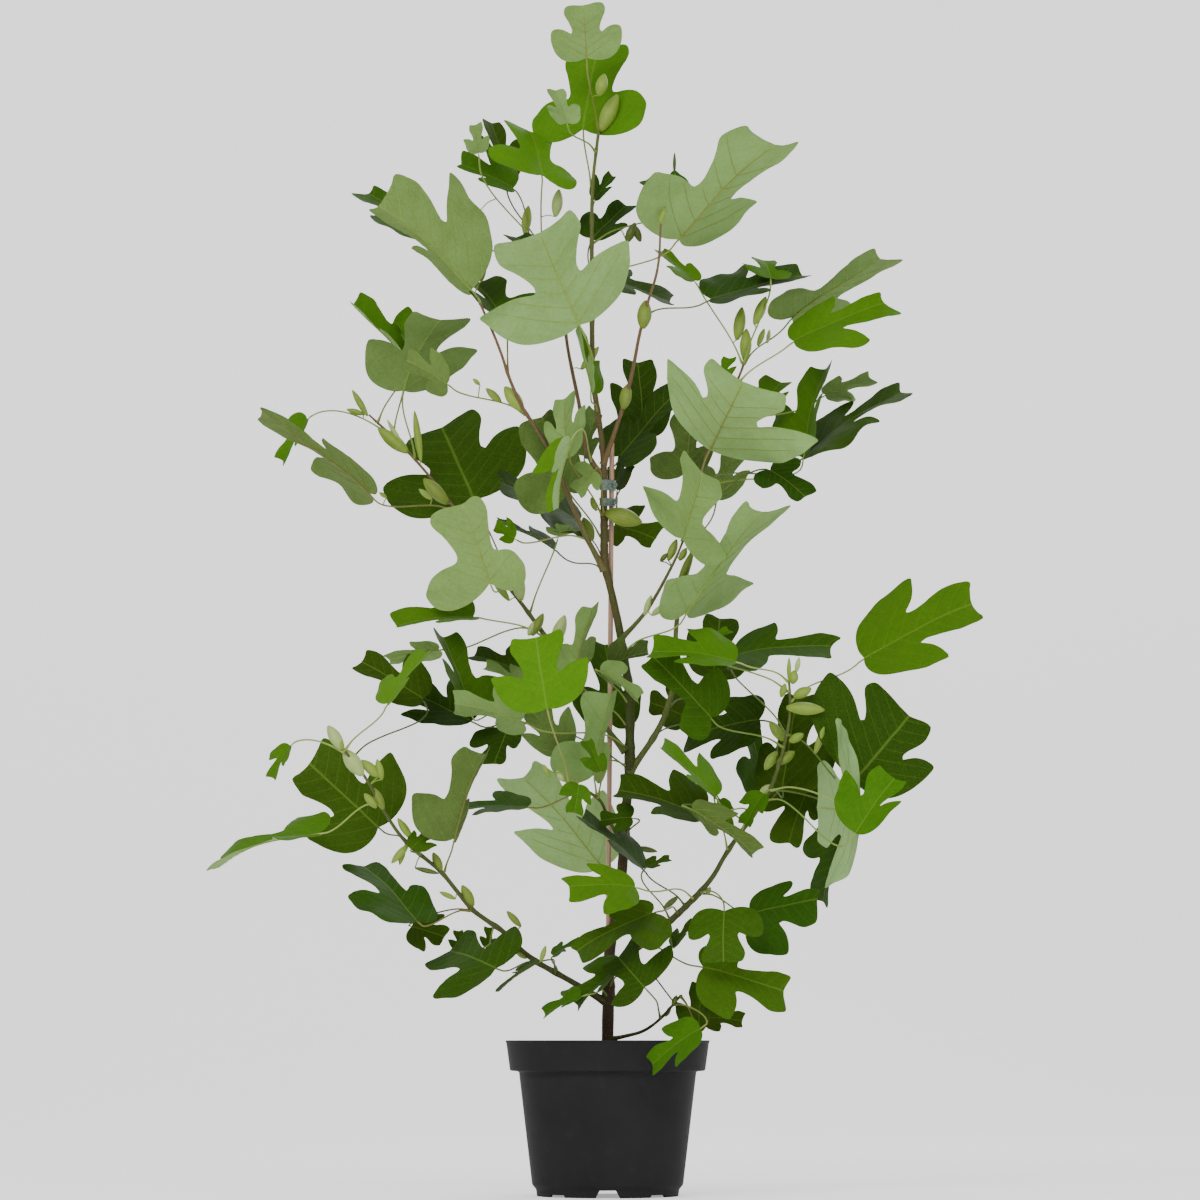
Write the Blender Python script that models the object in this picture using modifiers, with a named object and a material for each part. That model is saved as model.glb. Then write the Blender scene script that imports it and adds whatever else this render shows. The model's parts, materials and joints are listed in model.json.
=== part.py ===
"""Potted tulip tree: a nursery pot of compost, a caned trunk, its side branches and tulip-shaped leaves.

Metres, +Z up. The origin is on the ground under the middle of the pot, and the front faces -Y.
The stem and leaf tables give places on the front elevation in millimetres, as (x, z).
"""

import math

import bmesh
import bpy
from mathutils import Matrix, Vector
from mathutils.bvhtree import BVHTree
from mathutils.geometry import delaunay_2d_cdt

MM = 0.001
GAP = 0.0003  # between touching pieces

# Pot, turned about Z.
POT_HEIGHT = 0.174
RIM_RADIUS = 0.115
BAND_LOW = 0.140  # height of the rim band's lower edge
BAND_LOW_RADIUS = 0.110
BODY_TOP_RADIUS = 0.100
BODY_LOW_RADIUS = 0.085
BAND_STEP = 0.001
WALL = 0.002
POT_STEPS = 64

# The pot's foot: a ring with notches cut across it, round a floor with drain holes.
FOOT_RADIUS = 0.0805
FOOT_HEIGHT = 0.010
FOOT_WALL = 0.004
NOTCH_REACH = 0.012  # either side of the ring's outer radius
DEEP_NOTCH = (0.018, 0.009, 0.0085)  # half width at the ground and at the top, and height
LOW_NOTCH = (0.013, 0.011, 0.0028)
QUARTER_TURN = math.pi / 2
QUARTERS = 4
DRAIN_RING = 0.045
DRAIN_RADIUS = 0.006
DRAIN_SIDES = 16

# Compost, slightly heaped round the trunk.
SOIL_LEVEL = 0.156
SOIL_CROWN = 0.003
HEAP_RADIUS = 0.03
TRUNK_HOLE_FLOOR = 0.095
HOLE_TOP = 0.2
HOLE_SIDES = 32

# Cane and its two ties.
CANE_RADIUS = 0.0029
CANE_FOOT = Vector((-0.001, 0.013, 0.060))
CANE_TOP = Vector((0.005, 0.008, 0.854))
CANE_PIECES = 6
TIE_THICKNESS = 0.0008
TIE_SIDES = 32
TIE_BANDS = ((0.781, 0.790), (0.799, 0.811))
TIE_ROOM = 0.014  # radius about the ties that the leaves keep out of
TIE_ROOM_DEPTH = 0.004

# The front elevation is drawn as seen from this far in front, at the height of the rim.
EYE_DISTANCE = 5.0
EYE_HEIGHT = 0.174

POT_COLOUR = (0.03, 0.032, 0.034)
SOIL_COLOUR = (0.045, 0.03, 0.02)
TRUNK_COLOUR = (0.09, 0.075, 0.035)
BRANCH_COLOUR = (0.13, 0.12, 0.04)
CANE_COLOUR = (0.42, 0.25, 0.17)
TIE_COLOUR = (0.03, 0.06, 0.05)
LEAF_COLOUR = (0.10, 0.22, 0.04)

ROUTE_STEP = 0.012
PETIOLE_HALF = 0.0010
BLADE_THICKNESS = 0.0008
PETIOLE_SECTIONS = 6
LOBE_REACH = 0.56  # half the width across the side lobes, where the blade is 1 long
LOBE_HEIGHT = 0.60  # how far along the blade the side lobes' tips usually are
LOBE_HEIGHT_RANGE = (0.20, 0.72)
MOST_LEAN = 0.4
LOWEST_SHARE = 0.3  # how much of a lobe's move its inner corner follows
SHARE_DROP = 0.1  # how much less each point beyond that corner follows
WIDTH_RANGE = (1.05, 1.35)  # a blade's real width over its length
MOST_SKEW = 0.5  # largest cosine between the drawn midrib and the line across the lobes
FOLD_ROUNDING = 0.05  # half the width of the soft bend along the midrib
FOLD_NARROWING = 0.8  # how much of the fold shows as a narrower blade
EDGE_DROOP = 0.18  # how far the edges droop, over the square of their distance from the midrib
COLLAR_LENGTH = 0.18  # the thick place where the stalk joins the blade
COLLAR_HALF_WIDTH = 0.08
COLLAR_SHARE = 0.6
STALK_BEND = 0.35  # where a stalk's two bends are, as a share of the way between its ends
STALK_RISE = 0.5  # how steeply a stalk leaves the stem, and drops below the blade's plane
FOOT_CLEARANCE = 1.6
SHIFT_STEP = 0.012  # a leaf that meets another piece is moved in depth by steps of this
MOST_SHIFTS = 12
LIFTS = (0.0, 0.015, -0.015)  # it may also leave its stem this much higher
SHARP_ANGLE = math.radians(40)

# Right half of a blade from the petiole to the notch, as (across, along), with length 1.
HALF_BLADE = (
    (0.20, 0.00), (0.40, 0.09), (0.50, 0.28), (0.56, 0.60), (0.30, 0.53), (0.165, 0.45),
    (0.17, 0.60), (0.28, 0.85), (0.23, 1.07),
)
BLADE_LOBE = 3
BLADE_SINUS = 5
MIDRIB_STATIONS = (0.25, 0.5, 0.75)

# name: route on the front elevation, depth at its foot and tip, radius at its foot and tip, in millimetres.
STEMS = {
    "trunk": (
        ((0, 96), (0, 174), (1, 224), (3, 281), (14, 339), (22, 447), (25, 484), (24, 568), (14, 636),
         (4, 684), (-3, 715), (-4, 770), (-5, 840), (-13, 900), (-17, 940), (-18, 1071), (-17, 1151),
         (-10, 1216)),
        0, 0, 7.2, 1.7,
    ),
    "branch_low_left": (
        ((1, 215), (-39, 239), (-89, 268), (-118, 296), (-154, 322), (-187, 362), (-228, 397),
         (-254, 433), (-275, 471), (-299, 501)),
        0, -120, 3.6, 1.4,
    ),
    "branch_low_right": (
        ((2, 250), (37, 281), (65, 303), (112, 349), (137, 389), (158, 418), (184, 457), (200, 505),
         (207, 545), (206, 580)),
        0, -75, 4, 1.2,
    ),
    "branch_rim": (
        ((2, 175), (39, 184), (61, 200), (82, 224)),
        -3, -88, 2.2, 1.2,
    ),
    "branch_tall_right": (
        ((24, 475), (57, 524), (71, 560), (78, 594), (78, 643), (87, 690), (97, 731), (106, 808),
         (117, 852), (148, 923), (156, 945)),
        0, 10, 3.6, 1.3,
    ),
    "branch_short_right": (
        ((15, 628), (44, 660), (73, 711), (87, 743)),
        0, -60, 2.6, 1.3,
    ),
    "branch_left": (
        ((-4, 707), (-30, 757), (-67, 845), (-98, 895), (-115, 935), (-125, 965), (-146, 1014)),
        0, -120, 3.2, 1.3,
    ),
    "branch_far_left": (
        ((20, 500), (-9, 537), (-46, 596), (-90, 658), (-129, 711), (-178, 783), (-228, 843),
         (-272, 885)),
        -6, 95, 3.2, 1.2,
    ),
    "branch_upper_right": (
        ((-5, 828), (7, 862), (25, 920), (38, 985), (49, 1025), (58, 1058), (61, 1106)),
        0, -75, 2.8, 1.2,
    ),
    "branch_back": (
        ((-5, 815), (-23, 842), (-32, 895), (-45, 960), (-52, 1010), (-65, 1055), (-95, 1092)),
        0, 110, 2.8, 1.2,
    ),
    "branch_low_centre": (
        ((19, 392), (4, 416), (-7, 442), (-25, 456), (-45, 464)),
        0, -95, 2.4, 1.2,
    ),
}

# Each leaf: the face that shows from the front; base, tip notch, lobe tip on the left and on the right when
# looking from base to tip, as (x, z); depth of its middle; its stem and the height where it leaves it; the
# angle that each half folds up, in degrees; and how far it curls from base to tip, in radians.
LEAVES = (
    ("under", (-24, 1302), (-28, 1361), (-66, 1335), (14, 1337), -55, "trunk", 1214, 10, 0.2),
    ("upper", (-28, 1212), (-12, 1312), (-80, 1238), (50, 1245), -5, "trunk", 1150, 10, 0.2),
    ("under", (-33, 998), (-78, 1088), (-145, 992), (21, 1085), -125, "trunk", 930, 12, 0.2),
    ("under", (-155, 1030), (-262, 1130), (-232, 1083), (-183, 1150), -75, "branch_left", 1010, 25, 0.3),
    ("upper", (-200, 1085), (-275, 1145), (-283, 1086), (-225, 1125), 60, "branch_back", 1088, 20, 0.2),
    ("under", (-235, 918), (-190, 990), (-268, 955), (-145, 963), 35, "branch_far_left", 843, 12, 0.7),
    ("under", (82, 1097), (190, 1192), (32, 1125), (202, 1147), -70, "trunk", 1040, 14, 0.25),
    ("upper", (118, 1018), (224, 1048), (160, 1064), (190, 1012), 5, "branch_upper_right", 988, 15, 0.2),
    ("under", (213, 1003), (312, 1060), (190, 1010), (323, 1030), 50, "branch_tall_right", 943, 12, 0.2),
    ("upper", (213, 970), (318, 1015), (262, 1022), (297, 958), 0, "branch_tall_right", 923, 12, 0.25),
    ("under", (-272, 795), (-396, 886), (-348, 828), (-325, 845), 40, "branch_far_left", 783, 10, 0.35),
    ("upper", (-151, 783), (-190, 876), (-253, 801), (-100, 871), 140, "branch_far_left", 700, 10, 0.25),
    ("under", (-134, 693), (-165, 782), (-212, 684), (-98, 719), -50, "branch_far_left", 685, 12, 0.2),
    ("upper", (-35, 765), (-122, 805), (-80, 752), (-85, 812), 70, "trunk", 715, 12, 0.3),
    ("under", (-45, 800), (-75, 880), (-106, 796), (-30, 850), -25, "trunk", 745, 12, 0.2),
    ("upper", (15, 838), (80, 912), (12, 885), (60, 845), 50, "trunk", 815, 12, 0.2),
    ("under", (118, 853), (153, 914), (72, 951), (241, 861), -117, "branch_tall_right", 800, 12, 0.2),
    ("upper", (224, 839), (249, 940), (208, 898), (262, 899), 60, "branch_tall_right", 793, 25, 0.3),
    ("upper", (224, 838), (335, 912), (290, 903), (311, 862), 25, "branch_tall_right", 800, 12, 0.3),
    ("under", (86, 747), (107, 815), (40, 809), (130, 718), -120, "branch_short_right", 738, 12, 0.2),
    ("under", (90, 661), (175, 769), (62, 662), (199, 701), -92, "trunk", 610, 22, 0.25),
    ("upper", (-69, 548), (-82, 631), (-133, 583), (-20, 605), -150, "branch_low_centre", 462, 10, 0.2),
    ("upper", (-155, 545), (-188, 632), (-201, 590), (-138, 580), -5, "branch_far_left", 600, 25, 0.2),
    ("upper", (5, 530), (-3, 622), (-40, 570), (35, 572), 40, "trunk", 490, 10, 0.2),
    ("upper", (-154, 533), (-230, 570), (-245, 542), (-190, 590), 30, "branch_far_left", 580, 12, 0.2),
    ("upper", (-260, 414), (-338, 486), (-338, 402), (-250, 500), -30, "branch_low_left", 397, 10, 0.2),
    ("upper", (-330, 406), (-442, 370), (-347, 385), (-309, 429), -122, "branch_low_left", 434, 20, 0.6),
    ("upper", (-214, 308), (-277, 372), (-303, 342), (-207, 335), -65, "branch_low_left", 322, 12, 0.2),
    ("under", (-175, 402), (-140, 497), (-201, 436), (-148, 440), -95, "branch_low_left", 362, 25, 0.3),
    ("under", (-8, 372), (-95, 470), (-112, 399), (-12, 447), 80, "trunk", 330, 14, 0.25),
    ("under", (-16, 474), (3, 565), (-53, 497), (8, 505), -60, "branch_low_centre", 442, 15, 0.2),
    ("upper", (145, 603), (50, 615), (75, 590), (90, 643), -135, "branch_low_right", 570, 15, 0.3),
    ("upper", (117, 540), (50, 607), (78, 522), (124, 596), -100, "branch_low_right", 498, 12, 0.2),
    ("upper", (150, 612), (254, 618), (197, 641), (172, 572), 5, "branch_low_right", 520, 15, 0.4),
    ("upper", (292, 607), (414, 668), (351, 698), (387, 601), -10, "branch_low_right", 555, 8, 0.2),
    ("upper", (278, 465), (345, 543), (252, 588), (372, 480), -40, "branch_low_right", 508, 12, 0.2),
    ("upper", (105, 428), (12, 457), (48, 418), (72, 474), -85, "branch_low_right", 405, 20, 0.3),
    ("upper", (172, 535), (92, 520), (118, 488), (132, 560), 55, "branch_low_right", 480, 10, 0.2),
    ("upper", (178, 455), (156, 542), (136, 485), (190, 500), 60, "branch_low_right", 445, 15, 0.2),
    ("upper", (198, 456), (217, 562), (176, 508), (264, 506), 30, "branch_low_right", 457, 12, 0.2),
    ("upper", (108, 256), (199, 229), (142, 276), (132, 195), -75, "branch_low_right", 281, 12, 0.2),
    ("upper", (31, 347), (-44, 347), (-4, 310), (-24, 369), -150, "branch_low_right", 333, 10, 0.3),
    ("upper", (50, 318), (-35, 274), (45, 266), (5, 316), -115, "branch_low_right", 318, 15, 0.3),
    ("upper", (-126, 255), (-180, 276), (-196, 218), (-103, 297), -50, "branch_low_left", 262, 10, 0.2),
)


def from_front(x, z, depth):
    """The point at this depth that lies on the front elevation's (x, z), all in metres."""
    scale = 1 + depth / EYE_DISTANCE
    return Vector((x * scale, depth, EYE_HEIGHT + (z - EYE_HEIGHT) * scale))


def smooth_route(points, step):
    """Points about this far apart along the Catmull-Rom curve through the given ones."""
    ends = [2 * points[0] - points[1]] + list(points) + [2 * points[-1] - points[-2]]
    route = []
    for p0, p1, p2, p3 in zip(ends, ends[1:], ends[2:], ends[3:]):
        pieces = max(1, round((p2 - p1).length / step))
        for i in range(pieces):
            t = i / pieces
            route.append(
                0.5 * (2 * p1 + (p2 - p0) * t + (2 * p0 - 5 * p1 + 4 * p2 - p3) * t**2
                       + (3 * p1 - p0 - 3 * p2 + p3) * t**3)
            )
    route.append(points[-1].copy())
    return route


def stem_route(name):
    """(points, radii) of a stem's axis from its foot to its tip."""
    marks, start_depth, end_depth, start_radius, end_radius = STEMS[name]
    lengths = [0.0]
    for (x0, z0), (x1, z1) in zip(marks, marks[1:]):
        lengths.append(lengths[-1] + math.hypot(x1 - x0, z1 - z0))
    points = []
    for (x, z), length in zip(marks, lengths):
        depth = start_depth + (end_depth - start_depth) * length / lengths[-1]
        points.append(from_front(x * MM, z * MM, depth * MM))
    route = smooth_route(points, ROUTE_STEP)
    last = len(route) - 1
    radii = [(start_radius + (end_radius - start_radius) * i / last) * MM for i in range(last + 1)]
    return route, radii


def cane_at(height):
    """The middle of the cane at this height."""
    return CANE_FOOT.lerp(CANE_TOP, (height - CANE_FOOT.z) / (CANE_TOP.z - CANE_FOOT.z))


def cane_skin():
    """(points, radii) of the cane."""
    route = [CANE_FOOT.lerp(CANE_TOP, i / CANE_PIECES) for i in range(CANE_PIECES + 1)]
    return route, [CANE_RADIUS] * len(route)


def distance_to_stem(route, radii, point):
    """How far the point is from the stem's surface."""
    distances = []
    for low, high, radius in zip(route, route[1:], radii):
        run = high - low
        t = min(max((point - low).dot(run) / run.length_squared, 0.0), 1.0)
        distances.append((point - low - run * t).length - radius)
    return min(distances)


def clear_of_trunk(route, radii, trunk):
    """The branch without the stretch that would lie inside the trunk."""
    start = 0
    while distance_to_stem(*trunk, route[start]) < radii[start] + 2 * GAP:
        start += 1
    return route[start:], radii[start:]


def lobe_marks(leaf):
    """How far along the blade its drawn side lobes are, and how much further out the right one reaches."""
    base, tip, left, right = (Vector(mark) for mark in leaf[1:5])
    across, along, middle = right - left, tip - base, (left + right) / 2 - base
    low, high = LOBE_HEIGHT_RANGE
    height = across.cross(middle) / across.cross(along)
    lean = 2 * middle.cross(along) / across.cross(along)
    if leaf[0] == "under":
        lean = -lean
    return min(max(height, low), high), min(max(lean, -MOST_LEAN), MOST_LEAN)


def with_lobe_at(half, lobe, sinus, height):
    """The half outline with its side lobe, from point lobe (its tip) to point sinus, at this height."""
    moved = []
    for i, (p, q) in enumerate(half):
        if i <= lobe:
            share = (i + 1) / (lobe + 1)
        elif i <= sinus:
            share = 1 - (1 - LOWEST_SHARE) * (i - lobe) / (sinus - lobe)
        else:
            share = max(0.0, LOWEST_SHARE - SHARE_DROP * (i - sinus))
        moved.append((p, q + (height - LOBE_HEIGHT) * share))
    return moved


def solve_blade(leaf):
    """A leaf's frame from its drawn marks: base, length, and unit vectors across, along and up.

    The drawn base, tip and lobes fix the blade's plane, up to a mirror image. The one whose
    upper face looks up is taken.
    """
    face, base, tip, left, right, depth = leaf[:6]
    along = Vector((tip[0] - base[0], tip[1] - base[1]))
    across = Vector((right[0] - left[0], right[1] - left[1]))
    if face == "under":
        across.negate()
    low, high = WIDTH_RANGE
    width = min(max(across.length / along.length, low), high)
    across /= width
    skew = across.dot(along) / (across.length * along.length)
    if abs(skew) > MOST_SKEW:
        extra = skew - math.copysign(MOST_SKEW, skew)
        across -= along * (extra * across.length / along.length)
    dot = across.dot(along)
    aa, bb = across.length_squared, along.length_squared
    size = math.sqrt((aa + bb + math.sqrt((aa - bb) ** 2 + 4 * dot**2)) / 2)
    across_depth = math.sqrt(max(size**2 - aa, 0.0))
    along_depth = math.sqrt(max(size**2 - bb, 0.0))
    best = None
    for turn in (1, -1):
        a3 = turn * across_depth
        b3 = -math.copysign(along_depth, dot * a3)
        x_axis = Vector((across.x, a3, across.y)).normalized()
        y_axis = Vector((along.x, b3, along.y)).normalized()
        up = x_axis.cross(y_axis).normalized()
        if best is None or up.z > best[3].z:
            best = (size * MM, x_axis, y_axis, up)
    length, x_axis, y_axis, up = best
    middle = from_front((base[0] + tip[0]) / 2 * MM, (base[1] + tip[1]) / 2 * MM, depth * MM)
    length *= 1 + depth * MM / EYE_DISTANCE
    return middle - y_axis * length / 2, length, width, x_axis, y_axis, up


def blade_point(frame, fold, curl, across, along):
    """Where the blade's flat (across, along) lies, and how thick the blade is there."""
    base, length, width, x_axis, y_axis, up = frame
    p = across * width / (2 * LOBE_REACH)
    rise = math.sin(math.radians(fold)) * (math.hypot(p, FOLD_ROUNDING) - FOLD_ROUNDING)
    p_flat = p * math.cos(math.radians(fold) * FOLD_NARROWING)
    half_turn = curl / 2
    chord = math.sin(half_turn) / half_turn
    bend = curl * along - half_turn
    q_flat = (math.sin(bend) + math.sin(half_turn)) / (2 * math.sin(half_turn))
    rise += (math.cos(bend) - math.cos(half_turn)) / (curl * chord)
    rise -= EDGE_DROOP * p * p
    collar = max(0.0, 1 - along / COLLAR_LENGTH - abs(p) / COLLAR_HALF_WIDTH)
    thickness = BLADE_THICKNESS + 2 * PETIOLE_HALF * collar * COLLAR_SHARE
    return base + (x_axis * p_flat + y_axis * q_flat + up * rise) * length, thickness


def petiole_route(foot, frame):
    """Points from the blade's base back to the stem."""
    base, length, _, _, y_axis, up = frame
    reach = (base - foot).length
    lead = base - (y_axis + up * STALK_RISE).normalized() * reach * STALK_BEND
    rising = (base - foot).normalized() + Vector((0, 0, STALK_RISE))
    leave = foot + rising.normalized() * reach * STALK_BEND
    route = []
    for i in range(PETIOLE_SECTIONS + 1):
        t = i / PETIOLE_SECTIONS
        near_base = base * (1 - t) ** 3 + lead * 3 * t * (1 - t) ** 2
        near_foot = leave * 3 * t * t * (1 - t) + foot * t**3
        route.append(near_base + near_foot)
    return route


def leaf_solid(leaf, stems, shift, lift):
    """(vertices, faces) of a leaf: a thin blade whose base runs on as its petiole, one closed skin."""
    depth, stem, height, fold, curl = leaf[5:10]
    frame = solve_blade(leaf[:5] + (depth + shift / MM,))
    origin, length, width, x_axis, _, up = frame
    corner = PETIOLE_HALF / length * 2 * LOBE_REACH / width
    lobe, lean = lobe_marks(leaf)
    half = [(corner, 0.0)] + with_lobe_at(HALF_BLADE, BLADE_LOBE, BLADE_SINUS, lobe)
    outline = [(p * (1 + lean), q) for p, q in half] + [(0.0, 1.0)]
    outline += [(-p * (1 - lean), q) for p, q in reversed(half)]
    rim = len(outline)
    flat = [Vector(p) for p in outline] + [Vector((0.0, q)) for q in MIDRIB_STATIONS]
    edges = [(i, (i + 1) % rim) for i in range(rim)]
    found = delaunay_2d_cdt(flat, edges, [], 1, 1e-6)
    flat, triangles = found[0], found[2]
    upper, lower = [], []
    for spot in flat:
        point, thickness = blade_point(frame, fold, curl, spot.x, spot.y)
        upper.append(point + up * thickness / 2)
        lower.append(point - up * thickness / 2)
    count = len(flat)
    vertices = upper + lower
    faces = []
    for a, b, c in triangles:
        if (flat[b] - flat[a]).cross(flat[c] - flat[a]) < 0:
            b, c = c, b
        faces += [(a, b, c), (count + a, count + c, count + b)]
    for i in range(rim - 1):
        faces.append((i + 1, i, count + i, count + i + 1))
    route, radii = stems[stem]
    marks = range(len(route))
    target = from_front(0.0, height * MM, 0.0).z + lift
    node = min(marks, key=lambda i: abs(route[i].z - target))
    heading = (route[min(node + 1, len(route) - 1)] - route[max(node - 1, 0)]).normalized()
    side = origin - route[node]
    side = (side - heading * side.dot(heading)).normalized()
    foot = route[node] + side * (radii[node] + PETIOLE_HALF * FOOT_CLEARANCE + GAP)
    ring = [rim - 1, 0, count, count + rim - 1]
    x_side, up_side = x_axis.copy(), up.copy()
    path = petiole_route(foot, frame)
    for i in range(1, len(path)):
        heading = (path[i] - path[i - 1]).normalized()
        x_side = (x_side - heading * x_side.dot(heading)).normalized()
        up_side = (up_side - heading * up_side.dot(heading)).normalized()
        up_side = (up_side - x_side * up_side.dot(x_side)).normalized()
        start = len(vertices)
        for across, rise in ((-1, 1), (1, 1), (1, -1), (-1, -1)):
            vertices.append(path[i] + (x_side * across + up_side * rise) * PETIOLE_HALF)
        for j in range(4):
            k = (j + 1) % 4
            faces.append((ring[k], ring[j], start + j, start + k))
        ring = [start + j for j in range(4)]
    faces.append(tuple(ring))
    return vertices, faces


def tube_skin(route, radii, sides=8):
    """(vertices, faces) of a plain closed tube, for finding where a leaf would meet a stem."""
    vertices, faces = [], []
    side = Vector((0, 1, 0))
    for i, point in enumerate(route):
        heading = (route[min(i + 1, len(route) - 1)] - route[max(i - 1, 0)]).normalized()
        side = (side - heading * side.dot(heading)).normalized()
        other = heading.cross(side)
        for j in range(sides):
            turn = 2 * math.pi * j / sides
            vertices.append(point + (side * math.cos(turn) + other * math.sin(turn)) * (radii[i] + GAP))
    for i in range(len(route) - 1):
        for j in range(sides):
            k = (j + 1) % sides
            faces.append((i * sides + j, i * sides + k, (i + 1) * sides + k, (i + 1) * sides + j))
    faces.append(tuple(range(sides)))
    faces.append(tuple(len(vertices) - sides + j for j in range(sides)))
    return vertices, faces


class Placed:
    """The pieces placed so far, to keep each new leaf clear of them."""

    def __init__(self):
        self.trees = []

    def add(self, skin):
        vertices, faces = skin
        low = Vector([min(v[i] for v in vertices) for i in range(3)])
        high = Vector([max(v[i] for v in vertices) for i in range(3)])
        self.trees.append((low, high, BVHTree.FromPolygons(vertices, faces)))

    def meets(self, skin):
        vertices, faces = skin
        low = [min(v[i] for v in vertices) - GAP for i in range(3)]
        high = [max(v[i] for v in vertices) + GAP for i in range(3)]
        tree = None
        for other_low, other_high, other in self.trees:
            if all(low[i] < other_high[i] and high[i] > other_low[i] for i in range(3)):
                tree = tree or BVHTree.FromPolygons(vertices, faces)
                if tree.overlap(other):
                    return True
        return False


def place_leaf(leaf, stems, placed):
    """The nearest depth, then the nearest node up or down the stem, where the leaf meets nothing."""
    for n in range(MOST_SHIFTS):
        for lift in LIFTS:
            for side in (-1, 1):
                shift = side * n * SHIFT_STEP
                skin = leaf_solid(leaf, stems, shift, lift)
                if not placed.meets(skin):
                    placed.add(skin)
                    return shift, lift, skin
    raise ValueError(f"no free place for the leaf at {leaf[1]}")


def make_material(name, colour, roughness):
    material = bpy.data.materials.new(name)
    material.use_nodes = True
    shader = material.node_tree.nodes["Principled BSDF"]
    shader.inputs["Base Color"].default_value = (*colour, 1.0)
    shader.inputs["Roughness"].default_value = roughness
    shader.inputs["Metallic"].default_value = 0.0
    return material


def make_object(name, data, collection, colour, roughness):
    obj = bpy.data.objects.new(name, data)
    collection.objects.link(obj)
    data.materials.append(make_material(name, colour, roughness))
    return obj


def mesh_from(name, vertices, faces):
    mesh = bpy.data.meshes.new(name)
    mesh.from_pydata(vertices, [], faces)
    build = bmesh.new()
    build.from_mesh(mesh)
    bmesh.ops.recalc_face_normals(build, faces=build.faces)
    build.to_mesh(mesh)
    build.free()
    return mesh


def turned(name, profile, collection, colour, roughness):
    """A closed (radius, height) profile turned about Z. It runs down its outer side, top to bottom."""
    mesh = bpy.data.meshes.new(name)
    count = len(profile)
    mesh.from_pydata([(r, 0, z) for r, z in profile], [(i, i + 1) for i in range(count - 1)], [])
    obj = make_object(name, mesh, collection, colour, roughness)
    screw = obj.modifiers.new("turn", "SCREW")
    screw.steps = screw.render_steps = POT_STEPS
    screw.use_smooth_shade = True
    screw.use_merge_vertices = True
    screw.merge_threshold = 0.00001
    return obj


def cut(obj, cutter):
    modifier = obj.modifiers.new(cutter.name, "BOOLEAN")
    modifier.operation = "DIFFERENCE"
    modifier.solver = "EXACT"
    modifier.object = cutter


def make_cutter(name, build, collection):
    mesh = bpy.data.meshes.new(name)
    build.to_mesh(mesh)
    build.free()
    cutter = bpy.data.objects.new(name, mesh)
    collection.objects.link(cutter)
    cutter.hide_render = True
    cutter.display_type = "WIRE"
    return cutter


def round_cutter(name, spots, low, high, sides, collection):
    """Upright cylinders at each (x, y, radius), from low to high."""
    build = bmesh.new()
    for x, y, radius in spots:
        made = bmesh.ops.create_cone(build, cap_ends=True, segments=sides, radius1=radius, radius2=radius,
                                     depth=high - low)
        bmesh.ops.translate(build, vec=(x, y, (low + high) / 2), verts=made["verts"])
    return make_cutter(name, build, collection)


def notch_cutter(name, half_low, half_high, height, turns, collection):
    """Blocks across the foot ring with sloped sides, one at each turn about Z."""
    build = bmesh.new()
    for turn in turns:
        made = bmesh.ops.create_cube(build, size=1.0)
        for vertex in made["verts"]:
            top = vertex.co.z > 0
            x = math.copysign(half_high if top else half_low, vertex.co.x)
            y = -FOOT_RADIUS + math.copysign(NOTCH_REACH, vertex.co.y)
            z = height if top else -height
            vertex.co = Matrix.Rotation(turn, 3, "Z") @ Vector((x, y, z))
    return make_cutter(name, build, collection)


def make_pot(parts, cutters):
    """The pot: a thin tapered wall, a stepped-out rim band and a notched foot ring."""
    floor = FOOT_HEIGHT
    under = floor - BAND_STEP
    profile = (
        (RIM_RADIUS, POT_HEIGHT), (BAND_LOW_RADIUS, BAND_LOW), (BODY_TOP_RADIUS, BAND_LOW - BAND_STEP),
        (BODY_LOW_RADIUS, floor), (FOOT_RADIUS, under - BAND_STEP), (FOOT_RADIUS, 0.0),
        (FOOT_RADIUS - FOOT_WALL, 0.0), (FOOT_RADIUS - FOOT_WALL - BAND_STEP, under), (0.0, under),
        (0.0, floor + WALL), (BODY_LOW_RADIUS - WALL, floor + WALL),
        (BODY_TOP_RADIUS - WALL, BAND_LOW + BAND_STEP), (BAND_LOW_RADIUS - WALL, BAND_LOW + 2 * BAND_STEP),
        (RIM_RADIUS - WALL, POT_HEIGHT), (RIM_RADIUS, POT_HEIGHT),
    )
    pot = turned("pot", profile, parts, POT_COLOUR, 0.55)
    corners = [i * QUARTER_TURN for i in range(QUARTERS)]
    between = [(i + 0.5) * QUARTER_TURN for i in range(QUARTERS)]
    cut(pot, notch_cutter("deep_notches", *DEEP_NOTCH, corners, cutters))
    cut(pot, notch_cutter("low_notches", *LOW_NOTCH, between, cutters))
    spots = [(DRAIN_RING * math.cos(turn), DRAIN_RING * math.sin(turn), DRAIN_RADIUS) for turn in corners]
    cut(pot, round_cutter("drain_holes", spots, under - WALL, floor + 2 * WALL, DRAIN_SIDES, cutters))


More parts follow.
